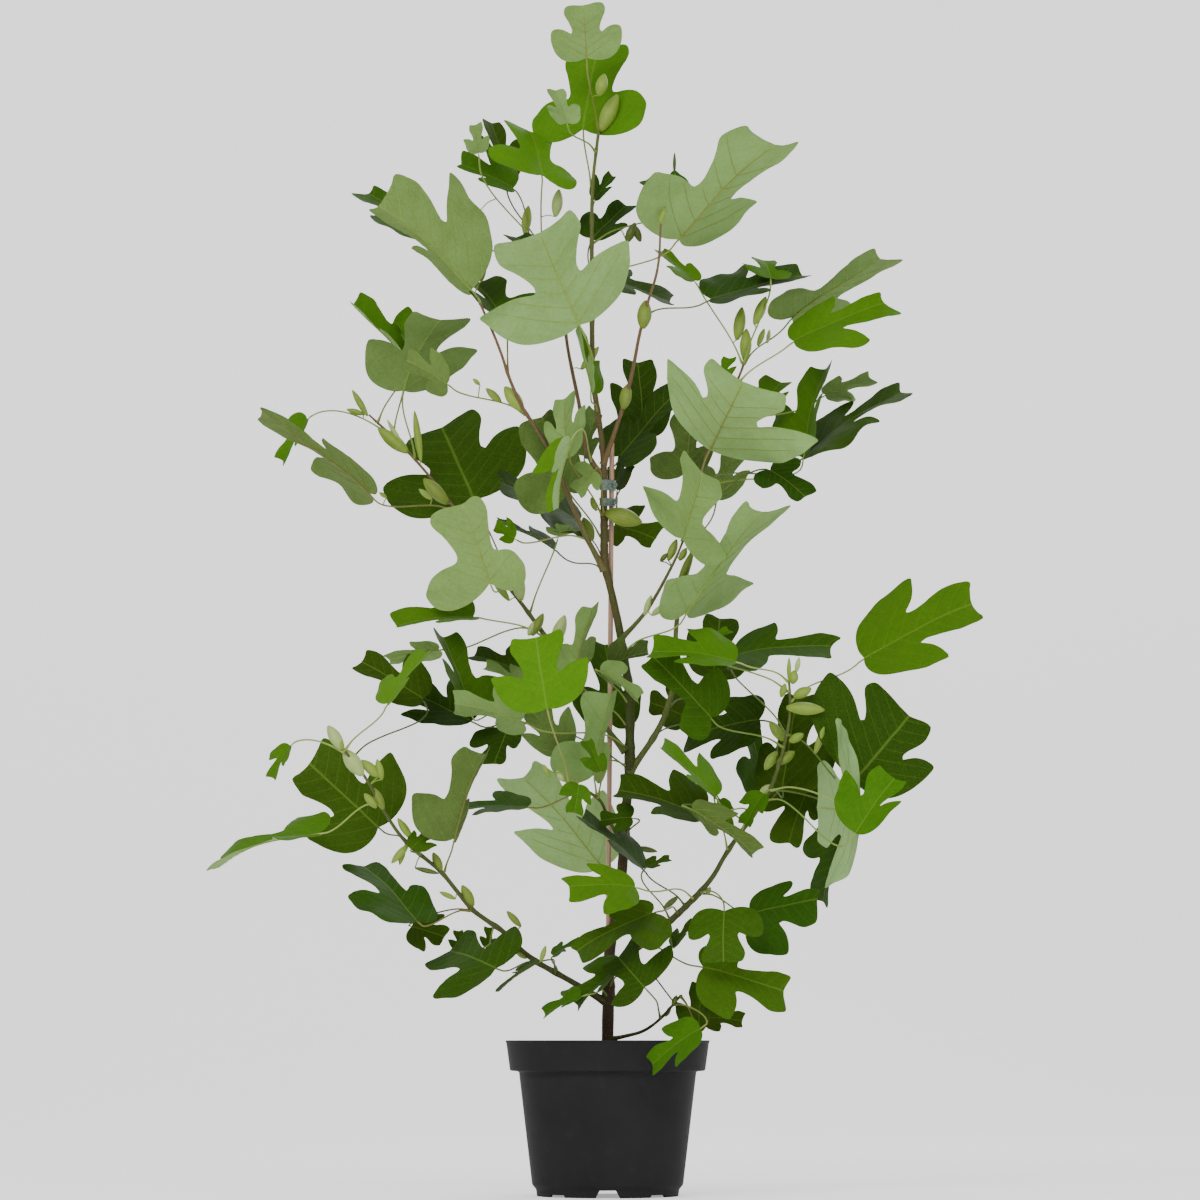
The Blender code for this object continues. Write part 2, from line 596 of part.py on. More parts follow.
def make_soil(parts, cutters):
    """The compost fills the pot to below its rim, and the trunk and the cane stand in it."""
    floor = FOOT_HEIGHT + WALL
    slope = (RIM_RADIUS - BAND_LOW_RADIUS) / (POT_HEIGHT - BAND_LOW)
    top_radius = BAND_LOW_RADIUS - WALL + slope * (SOIL_LEVEL - BAND_LOW) - 2 * GAP
    profile = (
        (0.0, SOIL_LEVEL + SOIL_CROWN), (HEAP_RADIUS, SOIL_LEVEL + SOIL_CROWN * 2 / 3),
        (2 * HEAP_RADIUS, SOIL_LEVEL), (top_radius, SOIL_LEVEL - SOIL_CROWN / 3),
        (BAND_LOW_RADIUS - WALL - 3 * GAP, BAND_LOW + 2 * BAND_STEP + GAP),
        (BODY_TOP_RADIUS - WALL - GAP, BAND_LOW + BAND_STEP + GAP),
        (BODY_LOW_RADIUS - WALL - GAP, floor + GAP), (0.0, floor + GAP),
    )
    soil = turned("soil", profile, parts, SOIL_COLOUR, 0.95)
    trunk_radius = STEMS["trunk"][3] * MM
    spots = [(0.0, 0.0, trunk_radius + 2 * GAP)]
    cut(soil, round_cutter("trunk_hole", spots, TRUNK_HOLE_FLOOR, HOLE_TOP, HOLE_SIDES, cutters))
    middle = cane_at((CANE_FOOT.z + SOIL_LEVEL) / 2)
    spots = [(middle.x, middle.y, CANE_RADIUS + 3 * GAP)]
    cut(soil, round_cutter("cane_hole", spots, CANE_FOOT.z - GAP, HOLE_TOP, HOLE_SIDES, cutters))


def make_stem(name, route, radii, parts, colour):
    """A stem is a tube along its route, thinner towards its tip."""
    curve = bpy.data.curves.new(name, "CURVE")
    curve.dimensions = "3D"
    curve.bevel_depth = 1.0
    curve.bevel_resolution = 2
    curve.use_fill_caps = True
    spline = curve.splines.new("POLY")
    spline.use_smooth = True
    spline.points.add(len(route) - 1)
    for point, place, radius in zip(spline.points, route, radii):
        point.co = (*place, 1.0)
        point.radius = radius
    make_object(name, curve, parts, colour, 0.6)


def make_tie(name, low, high, trunk, parts):
    """A flat band drawn round the trunk and the cane."""
    route, radii = trunk
    height = (low + high) / 2
    at = min(range(len(route)), key=lambda i: abs(route[i].z - height))
    rounds = ((route[at], radii[at] + 3 * GAP), (cane_at(height), CANE_RADIUS + 3 * GAP))
    vertices = []
    for z in (low, high):
        for i in range(TIE_SIDES):
            turn = 2 * math.pi * i / TIE_SIDES
            out = Vector((math.cos(turn), math.sin(turn), 0))
            middle, radius = max(rounds, key=lambda r: r[0].dot(out) + r[1])
            vertices.append((middle.x + radius * out.x, middle.y + radius * out.y, z))
    faces = []
    for i in range(TIE_SIDES):
        j = (i + 1) % TIE_SIDES
        faces.append((i, j, TIE_SIDES + j, TIE_SIDES + i))
    tie = make_object(name, mesh_from(name, vertices, faces), parts, TIE_COLOUR, 0.4)
    tie.data.shade_smooth()
    band = tie.modifiers.new("band", "SOLIDIFY")
    band.thickness = TIE_THICKNESS
    band.offset = 1.0


def grow_stems():
    """Each stem's (route, radii), the branches trimmed where they would enter the trunk."""
    stems = {"trunk": stem_route("trunk")}
    for name in STEMS:
        if name != "trunk":
            stems[name] = clear_of_trunk(*stem_route(name), stems["trunk"])
    return stems


def keep_clear(stems, cane):
    """The pieces that the leaves keep clear of."""
    placed = Placed()
    for route, radii in list(stems.values()) + [cane]:
        placed.add(tube_skin(route, radii))
    pot_axis = [Vector((0, 0, z)) for z in (0.0, BAND_LOW, POT_HEIGHT)]
    placed.add(tube_skin(pot_axis, [BODY_LOW_RADIUS, BAND_LOW_RADIUS, RIM_RADIUS], POT_STEPS))
    for low, high in TIE_BANDS:
        axis = [Vector((0, TIE_ROOM_DEPTH, low)), Vector((0, TIE_ROOM_DEPTH, high))]
        placed.add(tube_skin(axis, [TIE_ROOM, TIE_ROOM]))
    return placed


def main():
    for obj in list(bpy.data.objects):
        bpy.data.objects.remove(obj)
    parts = bpy.data.collections.new("potted_tulip_tree")
    cutters = bpy.data.collections.new("cutters")
    for collection in (parts, cutters):
        bpy.context.scene.collection.children.link(collection)

    make_pot(parts, cutters)
    make_soil(parts, cutters)
    stems = grow_stems()
    for name, (route, radii) in stems.items():
        make_stem(name, route, radii, parts, TRUNK_COLOUR if name == "trunk" else BRANCH_COLOUR)
    cane = cane_skin()
    make_stem("cane", *cane, parts, CANE_COLOUR)
    for name, (low, high) in zip(("lower_tie", "upper_tie"), TIE_BANDS):
        make_tie(name, low, high, stems["trunk"], parts)

    placed = keep_clear(stems, cane)
    for number, leaf in enumerate(LEAVES, 1):
        vertices, faces = place_leaf(leaf, stems, placed)[2]
        name = f"leaf_{number:02d}"
        obj = make_object(name, mesh_from(name, vertices, faces), parts, LEAF_COLOUR, 0.45)
        obj.data.set_sharp_from_angle(angle=SHARP_ANGLE)


if __name__ == "__main__":
    main()
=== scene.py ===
"""The looks of the potted tulip tree: fine leaves, bark, cane, ties, compost and pot round the frame.

Metres, +Z up. The stems and leaves follow the same tables and rules as the CAD, so that each fine piece
lies where its node is. The tables give places on the front elevation in millimetres, as (x, z).
"""

import json
import math
import random

import bmesh
import bpy
import numpy as np
from mathutils import Matrix, Vector, noise
from mathutils.bvhtree import BVHTree
from mathutils.geometry import delaunay_2d_cdt

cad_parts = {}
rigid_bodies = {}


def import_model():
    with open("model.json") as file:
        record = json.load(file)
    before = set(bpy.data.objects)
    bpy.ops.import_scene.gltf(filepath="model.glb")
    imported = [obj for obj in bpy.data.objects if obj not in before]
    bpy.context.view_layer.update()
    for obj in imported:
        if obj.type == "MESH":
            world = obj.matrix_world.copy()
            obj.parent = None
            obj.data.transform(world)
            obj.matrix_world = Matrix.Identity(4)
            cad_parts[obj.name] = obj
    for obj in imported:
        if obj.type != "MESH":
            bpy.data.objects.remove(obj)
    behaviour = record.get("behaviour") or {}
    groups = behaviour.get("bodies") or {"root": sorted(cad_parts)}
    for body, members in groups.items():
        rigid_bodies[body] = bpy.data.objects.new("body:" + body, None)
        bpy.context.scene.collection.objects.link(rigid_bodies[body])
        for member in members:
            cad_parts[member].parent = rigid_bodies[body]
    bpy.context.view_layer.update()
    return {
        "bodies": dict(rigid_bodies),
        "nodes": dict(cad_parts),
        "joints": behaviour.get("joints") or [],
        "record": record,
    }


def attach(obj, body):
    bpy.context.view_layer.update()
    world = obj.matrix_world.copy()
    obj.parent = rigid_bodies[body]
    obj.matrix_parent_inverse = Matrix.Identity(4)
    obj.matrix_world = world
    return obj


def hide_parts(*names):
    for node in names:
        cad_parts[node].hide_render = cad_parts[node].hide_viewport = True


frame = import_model()

MM = 0.001
GAP = 0.0003

# Places of the made things, as in the CAD.
POT_HEIGHT = 0.174
RIM_RADIUS = 0.115
BAND_LOW = 0.140
BAND_LOW_RADIUS = 0.110
BODY_TOP_RADIUS = 0.100
BODY_LOW_RADIUS = 0.085
WALL = 0.002
POT_STEPS = 64
FOOT_RADIUS = 0.0805
FOOT_HEIGHT = 0.010
FOOT_WALL = 0.004
SOIL_LEVEL = 0.156
CANE_RADIUS = 0.0029
CANE_FOOT = Vector((-0.001, 0.013, 0.060))
CANE_TOP = Vector((0.005, 0.008, 0.854))
CANE_PIECES = 6
TIE_BANDS = ((0.781, 0.790), (0.799, 0.811))
TIE_ROOM = 0.014
TIE_ROOM_DEPTH = 0.004

EYE_DISTANCE = 5.0
EYE_HEIGHT = 0.174
VIEW_CENTRE_X = -0.0086
VIEW_TILT = 5.696  # degrees up
VIEW_HALF_TANGENT = 0.13593
WORLD_STRENGTH = 0.9
FLOOR_GLOW = 0.4

ROUTE_STEP = 0.012
PETIOLE_HALF = 0.0010
BLADE_THICKNESS = 0.0008
PETIOLE_SECTIONS = 6
LOBE_REACH = 0.56  # half the width across the side lobes, where the blade is 1 long
LOBE_HEIGHT = 0.60  # how far along the blade the side lobes' tips usually are
LOBE_HEIGHT_RANGE = (0.20, 0.72)
MOST_LEAN = 0.4
LOWEST_SHARE = 0.3  # how much of a lobe's move its inner corner follows
SHARE_DROP = 0.1  # how much less each point beyond that corner follows
WIDTH_RANGE = (1.05, 1.35)  # a blade's real width over its length
MOST_SKEW = 0.5  # largest cosine between the drawn midrib and the line across the lobes
FOLD_ROUNDING = 0.05  # half the width of the soft bend along the midrib
FOLD_NARROWING = 0.8  # how much of the fold shows as a narrower blade
EDGE_DROOP = 0.18  # how far the edges droop, over the square of their distance from the midrib
COLLAR_LENGTH = 0.18  # the thick place where the stalk joins the blade
COLLAR_HALF_WIDTH = 0.08
COLLAR_SHARE = 0.6
STALK_BEND = 0.35  # where a stalk's two bends are, as a share of the way between its ends
STALK_RISE = 0.5  # how steeply a stalk leaves the stem, and drops below the blade's plane
FOOT_CLEARANCE = 1.6
SHIFT_STEP = 0.012  # a leaf that meets another piece is moved in depth by steps of this
MOST_SHIFTS = 12
LIFTS = (0.0, 0.015, -0.015)  # it may also leave its stem this much higher

# Right half of a blade from the petiole to the notch, as (across, along), with length 1.
HALF_BLADE = (
    (0.20, 0.00), (0.40, 0.09), (0.50, 0.28), (0.56, 0.60), (0.30, 0.53), (0.165, 0.45),
    (0.17, 0.60), (0.28, 0.85), (0.23, 1.07),
)
BLADE_LOBE = 3
BLADE_SINUS = 5
MIDRIB_STATIONS = (0.25, 0.5, 0.75)
CAD_LEAVES = 44

# name: route on the front elevation, depth at its foot and tip, radius at its foot and tip, in millimetres.
STEMS = {
    "trunk": (
        ((0, 96), (0, 174), (1, 224), (3, 281), (14, 339), (22, 447), (25, 484), (24, 568), (14, 636),
         (4, 684), (-3, 715), (-4, 770), (-5, 840), (-13, 900), (-17, 940), (-18, 1071), (-17, 1151),
         (-10, 1216)),
        0, 0, 7.2, 1.7,
    ),
    "branch_low_left": (
        ((1, 215), (-39, 239), (-89, 268), (-118, 296), (-154, 322), (-187, 362), (-228, 397),
         (-254, 433), (-275, 471), (-299, 501)),
        0, -120, 3.6, 1.4,
    ),
    "branch_low_right": (
        ((2, 250), (37, 281), (65, 303), (112, 349), (137, 389), (158, 418), (184, 457), (200, 505),
         (207, 545), (206, 580)),
        0, -75, 4, 1.2,
    ),
    "branch_rim": (
        ((2, 175), (39, 184), (61, 200), (82, 224)),
        -3, -88, 2.2, 1.2,
    ),
    "branch_tall_right": (
        ((24, 475), (57, 524), (71, 560), (78, 594), (78, 643), (87, 690), (97, 731), (106, 808),
         (117, 852), (148, 923), (156, 945)),
        0, 10, 3.6, 1.3,
    ),
    "branch_short_right": (
        ((15, 628), (44, 660), (73, 711), (87, 743)),
        0, -60, 2.6, 1.3,
    ),
    "branch_left": (
        ((-4, 707), (-30, 757), (-67, 845), (-98, 895), (-115, 935), (-125, 965), (-146, 1014)),
        0, -120, 3.2, 1.3,
    ),
    "branch_far_left": (
        ((20, 500), (-9, 537), (-46, 596), (-90, 658), (-129, 711), (-178, 783), (-228, 843),
         (-272, 885)),
        -6, 95, 3.2, 1.2,
    ),
    "branch_upper_right": (
        ((-5, 828), (7, 862), (25, 920), (38, 985), (49, 1025), (58, 1058), (61, 1106)),
        0, -75, 2.8, 1.2,
    ),
    "branch_back": (
        ((-5, 815), (-23, 842), (-32, 895), (-45, 960), (-52, 1010), (-65, 1055), (-95, 1092)),
        0, 110, 2.8, 1.2,
    ),
    "branch_low_centre": (
        ((19, 392), (4, 416), (-7, 442), (-25, 456), (-45, 464)),
        0, -95, 2.4, 1.2,
    ),
}

# Short names for the branches in the leaf table.
BACK = "branch_back"
FAR_LEFT = "branch_far_left"
LEFT = "branch_left"
LOW_CENTRE = "branch_low_centre"
LOW_LEFT = "branch_low_left"
LOW_RIGHT = "branch_low_right"
RIM = "branch_rim"
SHORT_RIGHT = "branch_short_right"
TALL_RIGHT = "branch_tall_right"
UPPER_RIGHT = "branch_upper_right"

# Each leaf: the face that shows from the front; base, tip notch, lobe tip on the left and on the right when
# looking from base to tip, as (x, z); depth of its middle; its stem and the height where it leaves it; the
# angle that each half folds up, in degrees; and how far it curls from base to tip, in radians.
# The last two run from 0, a bright leaf, to 1, a dark one, and from 0, a pointed leaf, to 1, a round one.
# Dark tones are partly painted shade: leaves set back among the others, where shadow falls, are given darker
# colours.
LEAVES = (
    ("under", (-24, 1302), (-28, 1361), (-66, 1335), (14, 1337), -55, "trunk", 1214, 10, 0.2, 0.5, 0.9),
    ("upper", (-28, 1212), (-12, 1312), (-80, 1238), (50, 1245), -5, "trunk", 1150, 10, 0.2, 0.2, 1),
    ("under", (-33, 998), (-78, 1088), (-145, 992), (21, 1085), -125, "trunk", 930, 12, 0.2, 0.25, 0.2),
    ("under", (-155, 1030), (-262, 1130), (-232, 1083), (-183, 1150), -75, LEFT, 1010, 25, 0.3, 0.5, 0.35),
    ("upper", (-200, 1085), (-275, 1145), (-283, 1086), (-225, 1125), 60, BACK, 1088, 20, 0.2, 0.6, 0.35),
    ("under", (-235, 918), (-190, 990), (-268, 955), (-145, 963), 35, FAR_LEFT, 843, 12, 0.7, 0.45, 0.35),
    ("under", (82, 1097), (190, 1192), (32, 1125), (202, 1147), -70, "trunk", 1040, 14, 0.25, 0.3, 0.15),
    ("upper", (118, 1018), (224, 1048), (160, 1064), (190, 1012), 5, UPPER_RIGHT, 988, 15, 0.2, 0.85, 0.6),
    ("under", (213, 1003), (312, 1060), (190, 1010), (323, 1030), 50, TALL_RIGHT, 943, 12, 0.2, 0.5, 0.35),
    ("upper", (213, 970), (318, 1015), (262, 1022), (297, 958), 0, TALL_RIGHT, 923, 12, 0.25, 0.1, 0.35),
    ("under", (-272, 795), (-396, 886), (-348, 828), (-325, 845), 40, FAR_LEFT, 783, 10, 0.35, 0.75, 0.5),
    ("upper", (-151, 783), (-190, 876), (-253, 801), (-100, 871), 140, FAR_LEFT, 700, 10, 0.25, 0.9, 0.8),
    ("under", (-134, 693), (-165, 782), (-212, 684), (-98, 719), -50, FAR_LEFT, 685, 12, 0.2, 0.35, 1),
    ("upper", (-35, 765), (-122, 805), (-80, 752), (-85, 812), 70, "trunk", 715, 12, 0.3, 1, 1),
    ("under", (-45, 800), (-75, 880), (-106, 796), (-30, 850), -25, "trunk", 745, 12, 0.2, 0.7, 0.8),
    ("upper", (15, 838), (80, 912), (12, 885), (60, 845), 50, "trunk", 815, 12, 0.2, 1, 0.7),
    ("under", (118, 853), (153, 914), (72, 951), (241, 861), -117, TALL_RIGHT, 800, 12, 0.2, 0.25, 0.2),
    ("upper", (224, 839), (249, 940), (208, 898), (262, 899), 60, TALL_RIGHT, 793, 25, 0.3, 0.4, 0.35),
    ("upper", (224, 838), (335, 912), (290, 903), (311, 862), 25, TALL_RIGHT, 800, 12, 0.3, 0.8, 0.5),
    ("under", (86, 747), (107, 815), (40, 809), (130, 718), -120, SHORT_RIGHT, 738, 12, 0.2, 0.4, 0.35),
    ("under", (90, 661), (175, 769), (62, 662), (199, 701), -92, "trunk", 610, 22, 0.25, 0.3, 0.1),
    ("upper", (-69, 548), (-82, 631), (-133, 583), (-20, 605), -150, LOW_CENTRE, 462, 10, 0.2, 0.15, 0.35),
    ("upper", (-155, 545), (-188, 632), (-201, 590), (-138, 580), -5, FAR_LEFT, 600, 25, 0.2, 0.55, 0.35),
    ("upper", (5, 530), (-3, 622), (-40, 570), (35, 572), 40, "trunk", 490, 10, 0.2, 0.85, 0.35),
    ("upper", (-154, 533), (-230, 570), (-245, 542), (-190, 590), 30, FAR_LEFT, 580, 12, 0.2, 0.95, 0.35),
    ("upper", (-260, 414), (-338, 486), (-338, 402), (-250, 500), -30, LOW_LEFT, 397, 10, 0.2, 0.85, 0.35),
    ("upper", (-330, 406), (-442, 370), (-347, 385), (-309, 429), -122, LOW_LEFT, 434, 20, 0.6, 0.2, 0.35),
    ("upper", (-214, 308), (-277, 372), (-303, 342), (-207, 335), -65, LOW_LEFT, 322, 12, 0.2, 0.8, 0.7),
    ("under", (-175, 402), (-140, 497), (-201, 436), (-148, 440), -95, LOW_LEFT, 362, 25, 0.3, 0.75, 0.35),
    ("under", (-8, 372), (-95, 470), (-112, 399), (-12, 447), 80, "trunk", 330, 14, 0.25, 0.15, 0.2),
    ("under", (-16, 474), (3, 565), (-53, 497), (8, 505), -60, LOW_CENTRE, 442, 15, 0.2, 0.4, 0.7),
    ("upper", (145, 603), (50, 615), (75, 590), (90, 643), -135, LOW_RIGHT, 570, 15, 0.3, 0.2, 0.35),
    ("upper", (117, 540), (50, 607), (78, 522), (124, 596), -100, LOW_RIGHT, 498, 12, 0.2, 0.6, 0.35),
    ("upper", (150, 612), (254, 618), (197, 641), (172, 572), 5, LOW_RIGHT, 520, 15, 0.4, 0.75, 0.35),
    ("upper", (292, 607), (414, 668), (351, 698), (387, 601), -10, LOW_RIGHT, 555, 8, 0.2, 0.25, 0.35),
    ("upper", (278, 465), (345, 543), (252, 588), (372, 480), -40, LOW_RIGHT, 508, 12, 0.2, 0.85, 0.7),
    ("upper", (105, 428), (12, 457), (48, 418), (72, 474), -85, LOW_RIGHT, 405, 20, 0.3, 0.95, 0.35),
    ("upper", (172, 535), (92, 520), (118, 488), (132, 560), 55, LOW_RIGHT, 480, 10, 0.2, 1, 0.9),
    ("upper", (178, 455), (156, 542), (136, 485), (190, 500), 60, LOW_RIGHT, 445, 15, 0.2, 0.75, 0.7),
    ("upper", (198, 456), (217, 562), (176, 508), (264, 506), 30, LOW_RIGHT, 457, 12, 0.2, 0.9, 0.8),
    ("upper", (108, 256), (199, 229), (142, 276), (132, 195), -75, LOW_RIGHT, 281, 12, 0.2, 0.6, 0.5),
    ("upper", (31, 347), (-44, 347), (-4, 310), (-24, 369), -150, LOW_RIGHT, 333, 10, 0.3, 0.2, 0.35),
    ("upper", (50, 318), (-35, 274), (45, 266), (5, 316), -115, LOW_RIGHT, 318, 15, 0.3, 0.8, 0.6),
    ("upper", (-126, 255), (-180, 276), (-196, 218), (-103, 297), -50, LOW_LEFT, 262, 10, 0.2, 0.8, 0.35),
    ("under", (-47, 1228), (-60, 1260), (-72, 1245), (-36, 1242), -70, "trunk", 1190, 15, 0.2, 0.3, 0.9),
    ("upper", (-15, 1135), (6, 1162), (-8, 1168), (10, 1150), 20, "trunk", 1110, 15, 0.2, 0.9, 0.35),
    ("upper", (-74, 1158), (-90, 1221), (-135, 1190), (-38, 1157), 5, BACK, 1085, 10, 0.2, 0.1, 0.8),
    ("upper", (-108, 1150), (-168, 1175), (-150, 1150), (-140, 1198), 75, BACK, 1088, 15, 0.2, 0.5, 0.8),
    ("upper", (-116, 1160), (-133, 1225), (-152, 1205), (-108, 1212), 110, BACK, 1088, 15, 0.2, 0.95, 0.6),
    ("under", (-148, 1190), (-152, 1222), (-166, 1206), (-137, 1208), 35, BACK, 1088, 10, 0.2, 0.4, 0.35),
    ("upper", (-60, 1050), (-105, 1095), (-137, 1090), (-77, 1103), 70, BACK, 990, 15, 0.2, 0.95, 0.5),
    ("upper", (-17, 1088), (22, 1130), (-22, 1122), (25, 1100), 60, "trunk", 1040, 15, 0.2, 0.95, 0.6),
    ("upper", (-118, 993), (-152, 1043), (-166, 1012), (-70, 1008), -55, LEFT, 925, 30, 0.1, 0.8, 0.35),
    ("upper", (-235, 955), (-292, 1012), (-267, 972), (-248, 1000), 110, FAR_LEFT, 875, 35, 0.2, 0.3, 0.35),
    ("upper", (-225, 960), (-240, 992), (-242, 974), (-221, 980), 135, FAR_LEFT, 875, 30, 0.2, 0.3, 0.35),
    ("under", (-183, 920), (-230, 950), (-215, 915), (-205, 957), -30, LEFT, 880, 15, 0.2, 0.6, 0.35),
    ("upper", (80, 1135), (45, 1160), (28, 1148), (68, 1178), 50, "trunk", 1080, 15, 0.2, 0.6, 0.8),
    ("upper", (-10, 1043), (72, 1018), (25, 1057), (28, 1010), 70, "trunk", 1000, 15, 0.2, 0.95, 0.35),
    ("upper", (100, 1040), (62, 1076), (60, 1043), (92, 1060), 40, TALL_RIGHT, 943, 20, 0.2, 0.2, 0.35),
    ("upper", (187, 1041), (180, 1068), (152, 1053), (210, 1047), 5, TALL_RIGHT, 944, 15, 0.2, 0.3, 0.35),
    ("upper", (-343, 880), (-371, 833), (-348, 845), (-369, 872), 125, FAR_LEFT, 884, 20, 0.2, 0.15, 0.35),
    ("upper", (-153, 655), (-240, 643), (-190, 633), (-208, 676), -5, FAR_LEFT, 634, 20, 0.3, 0.15, 0.7),
    ("under", (-45, 838), (-50, 902), (-68, 875), (-20, 900), -60, "trunk", 772, 15, 0.2, 0.35, 0.6),
    ("upper", (-43, 857), (-57, 778), (-44, 815), (-58, 818), -95, BACK, 830, 40, 0.3, 0.05, 0.35),
    ("under", (-28, 838), (-12, 888), (-38, 875), (-5, 860), 30, "trunk", 820, 15, 0.2, 0.6, 0.35),
    ("under", (-15, 820), (-35, 797), (-12, 797), (-40, 828), -40, "trunk", 770, 10, 0.2, 0.6, 0.35),
    ("upper", (-18, 912), (-37, 983), (-36, 945), (-20, 948), -35, "trunk", 890, 30, 0.2, 0.4, 0.35),
    ("upper", (-106, 744), (-128, 757), (-125, 740), (-116, 768), 5, LEFT, 745, 15, 0.2, 0.15, 0.35),
    ("upper", (-62, 733), (-124, 762), (-97, 742), (-92, 754), 110, "trunk", 704, 20, 0.2, 1, 0.35),
    ("under", (-56, 748), (-50, 757), (-72, 750), (-30, 754), 15, FAR_LEFT, 665, 20, 0.2, 0.5, 0.35),
    ("upper", (40, 860), (35, 946), (0, 920), (72, 925), 60, "trunk", 762, 12, 0.2, 1, 0.6),
    ("under", (89, 820), (98, 884), (48, 832), (125, 850), 50, TALL_RIGHT, 760, 12, 0.2, 0.8, 0.35),
    ("upper", (128, 925), (140, 952), (120, 940), (149, 936), 0, TALL_RIGHT, 900, 15, 0.2, 0.1, 0.35),
    ("upper", (165, 885), (200, 925), (158, 930), (213, 912), 75, TALL_RIGHT, 852, 15, 0.2, 0.5, 0.35),
    ("under", (250, 910), (300, 927), (266, 925), (288, 904), 100, TALL_RIGHT, 852, 15, 0.2, 0.4, 0.35),
    ("upper", (186, 824), (225, 790), (224, 831), (177, 797), -30, TALL_RIGHT, 765, 10, 0.3, 0.85, 0.7),
    ("under", (125, 790), (148, 842), (112, 821), (165, 820), 65, TALL_RIGHT, 731, 12, 0.2, 0.7, 0.35),
    ("upper", (8, 760), (55, 742), (45, 782), (10, 730), 95, "trunk", 705, 12, 0.2, 0.9, 0.35),
    ("upper", (10, 800), (22, 850), (4, 825), (32, 822), 85, "trunk", 740, 12, 0.2, 1, 0.35),
    ("under", (-37, 592), (-18, 663), (-50, 610), (-3, 635), -50, "trunk", 535, 20, 0.2, 0.4, 0.6),
    ("upper", (-100, 592), (-152, 610), (-138, 588), (-112, 620), 75, FAR_LEFT, 590, 15, 0.2, 0.95, 0.35),
    ("under", (-92, 574), (-138, 596), (-120, 578), (-112, 594), 10, FAR_LEFT, 585, 20, 0.2, 0.4, 0.35),
    ("under", (-98, 535), (-174, 556), (-128, 518), (-130, 568), -110, "trunk", 500, 15, 0.2, 0.4, 0.35),
    ("under", (-52, 498), (-85, 545), (-98, 518), (-45, 548), -70, "trunk", 465, 12, 0.2, 0.65, 0.35),
    ("under", (-8, 593), (35, 560), (20, 588), (8, 566), -55, "trunk", 560, 25, 0.2, 0.4, 0.35),
    ("under", (3, 600), (46, 614), (20, 628), (24, 602), -30, "trunk", 583, 15, 0.2, 0.85, 0.35),
    ("upper", (-250, 555), (-206, 613), (-250, 590), (-220, 577), -120, LOW_LEFT, 489, 15, 0.2, 0.1, 0.35),
    ("upper", (-210, 560), (-280, 602), (-262, 560), (-230, 612), -35, LOW_LEFT, 498, 12, 0.2, 1, 0.35),
    ("under", (-192, 616), (-249, 606), (-215, 592), (-225, 618), 80, FAR_LEFT, 640, 20, 0.2, 0.5, 0.35),
    ("upper", (-361, 507), (-380, 470), (-363, 480), (-384, 492), -125, LOW_LEFT, 501, 20, 0.2, 0.2, 0.35),
    ("upper", (-222, 302), (-184, 290), (-180, 313), (-205, 272), -15, LOW_LEFT, 322, 10, 0.2, 1, 0.7),
    ("upper", (-114, 525), (-128, 485), (-100, 502), (-157, 505), 20, "trunk", 480, 10, 0.2, 0.95, 0.9),
    ("upper", (-92, 437), (-178, 433), (-155, 416), (-125, 448), -70, LOW_CENTRE, 448, 15, 0.3, 0.85, 0.35),
    ("upper", (-8, 478), (-24, 512), (-32, 490), (-6, 498), -105, LOW_CENTRE, 442, 15, 0.2, 0.5, 0.35),
    ("upper", (-33, 463), (-38, 430), (-20, 440), (-56, 450), -135, LOW_CENTRE, 460, 10, 0.3, 0.5, 0.35),
    ("upper", (27, 425), (-8, 422), (8, 407), (12, 440), -40, "trunk", 395, 12, 0.2, 0.9, 0.8),
    ("upper", (40, 368), (-29, 425), (-8, 390), (8, 412), -25, LOW_RIGHT, 321, 15, 0.2, 0.95, 0.35),
    ("upper", (44, 370), (70, 378), (55, 382), (60, 368), -70, LOW_RIGHT, 321, 12, 0.2, 0.8, 0.35),
    ("upper", (120, 585), (128, 652), (90, 640), (165, 630), 115, TALL_RIGHT, 550, 12, 0.2, 1, 0.9),
    ("upper", (112, 625), (138, 639), (118, 638), (132, 624), -90, LOW_RIGHT, 560, 12, 0.2, 0.4, 0.35),
    ("under", (95, 435), (165, 384), (142, 420), (118, 400), -120, LOW_RIGHT, 405, 15, 0.4, 0.7, 0.35),
    ("upper", (86, 542), (48, 555), (60, 527), (66, 577), 75, TALL_RIGHT, 500, 10, 0.2, 1, 0.9),
    ("upper", (232, 470), (205, 396), (240, 420), (178, 432), 60, LOW_RIGHT, 425, 12, 0.2, 0.85, 0.9),
    ("upper", (122, 450), (61, 505), (84, 466), (100, 498), -145, LOW_RIGHT, 414, 15, 0.2, 0.1, 0.35),
    ("upper", (176, 452), (156, 417), (177, 428), (151, 442), -120, LOW_RIGHT, 411, 12, 0.2, 0.4, 0.35),
    ("upper", (128, 446), (138, 417), (142, 434), (125, 430), -155, LOW_RIGHT, 407, 12, 0.2, 0.5, 0.35),
    ("under", (281, 428), (241, 440), (252, 348), (256, 533), -90, LOW_RIGHT, 452, 5, 0.2, 0, 0.3),
    ("upper", (266, 405), (244, 330), (264, 352), (234, 385), -45, LOW_RIGHT, 452, 15, 0.3, 0.85, 0.7),
    ("upper", (280, 408), (325, 470), (276, 480), (333, 443), -100, LOW_RIGHT, 458, 12, 0.2, 0.3, 0.35),
    ("upper", (163, 317), (236, 332), (212, 352), (200, 272), -30, LOW_RIGHT, 340, 12, 0.2, 0.7, 0.8),
    ("upper", (132, 320), (130, 262), (176, 288), (92, 285), -115, LOW_RIGHT, 337, 10, 0.4, 0.65, 0.9),
    ("upper", (112, 200), (152, 196), (130, 216), (125, 182), 70, LOW_RIGHT, 265, 12, 0.2, 1, 0.35),
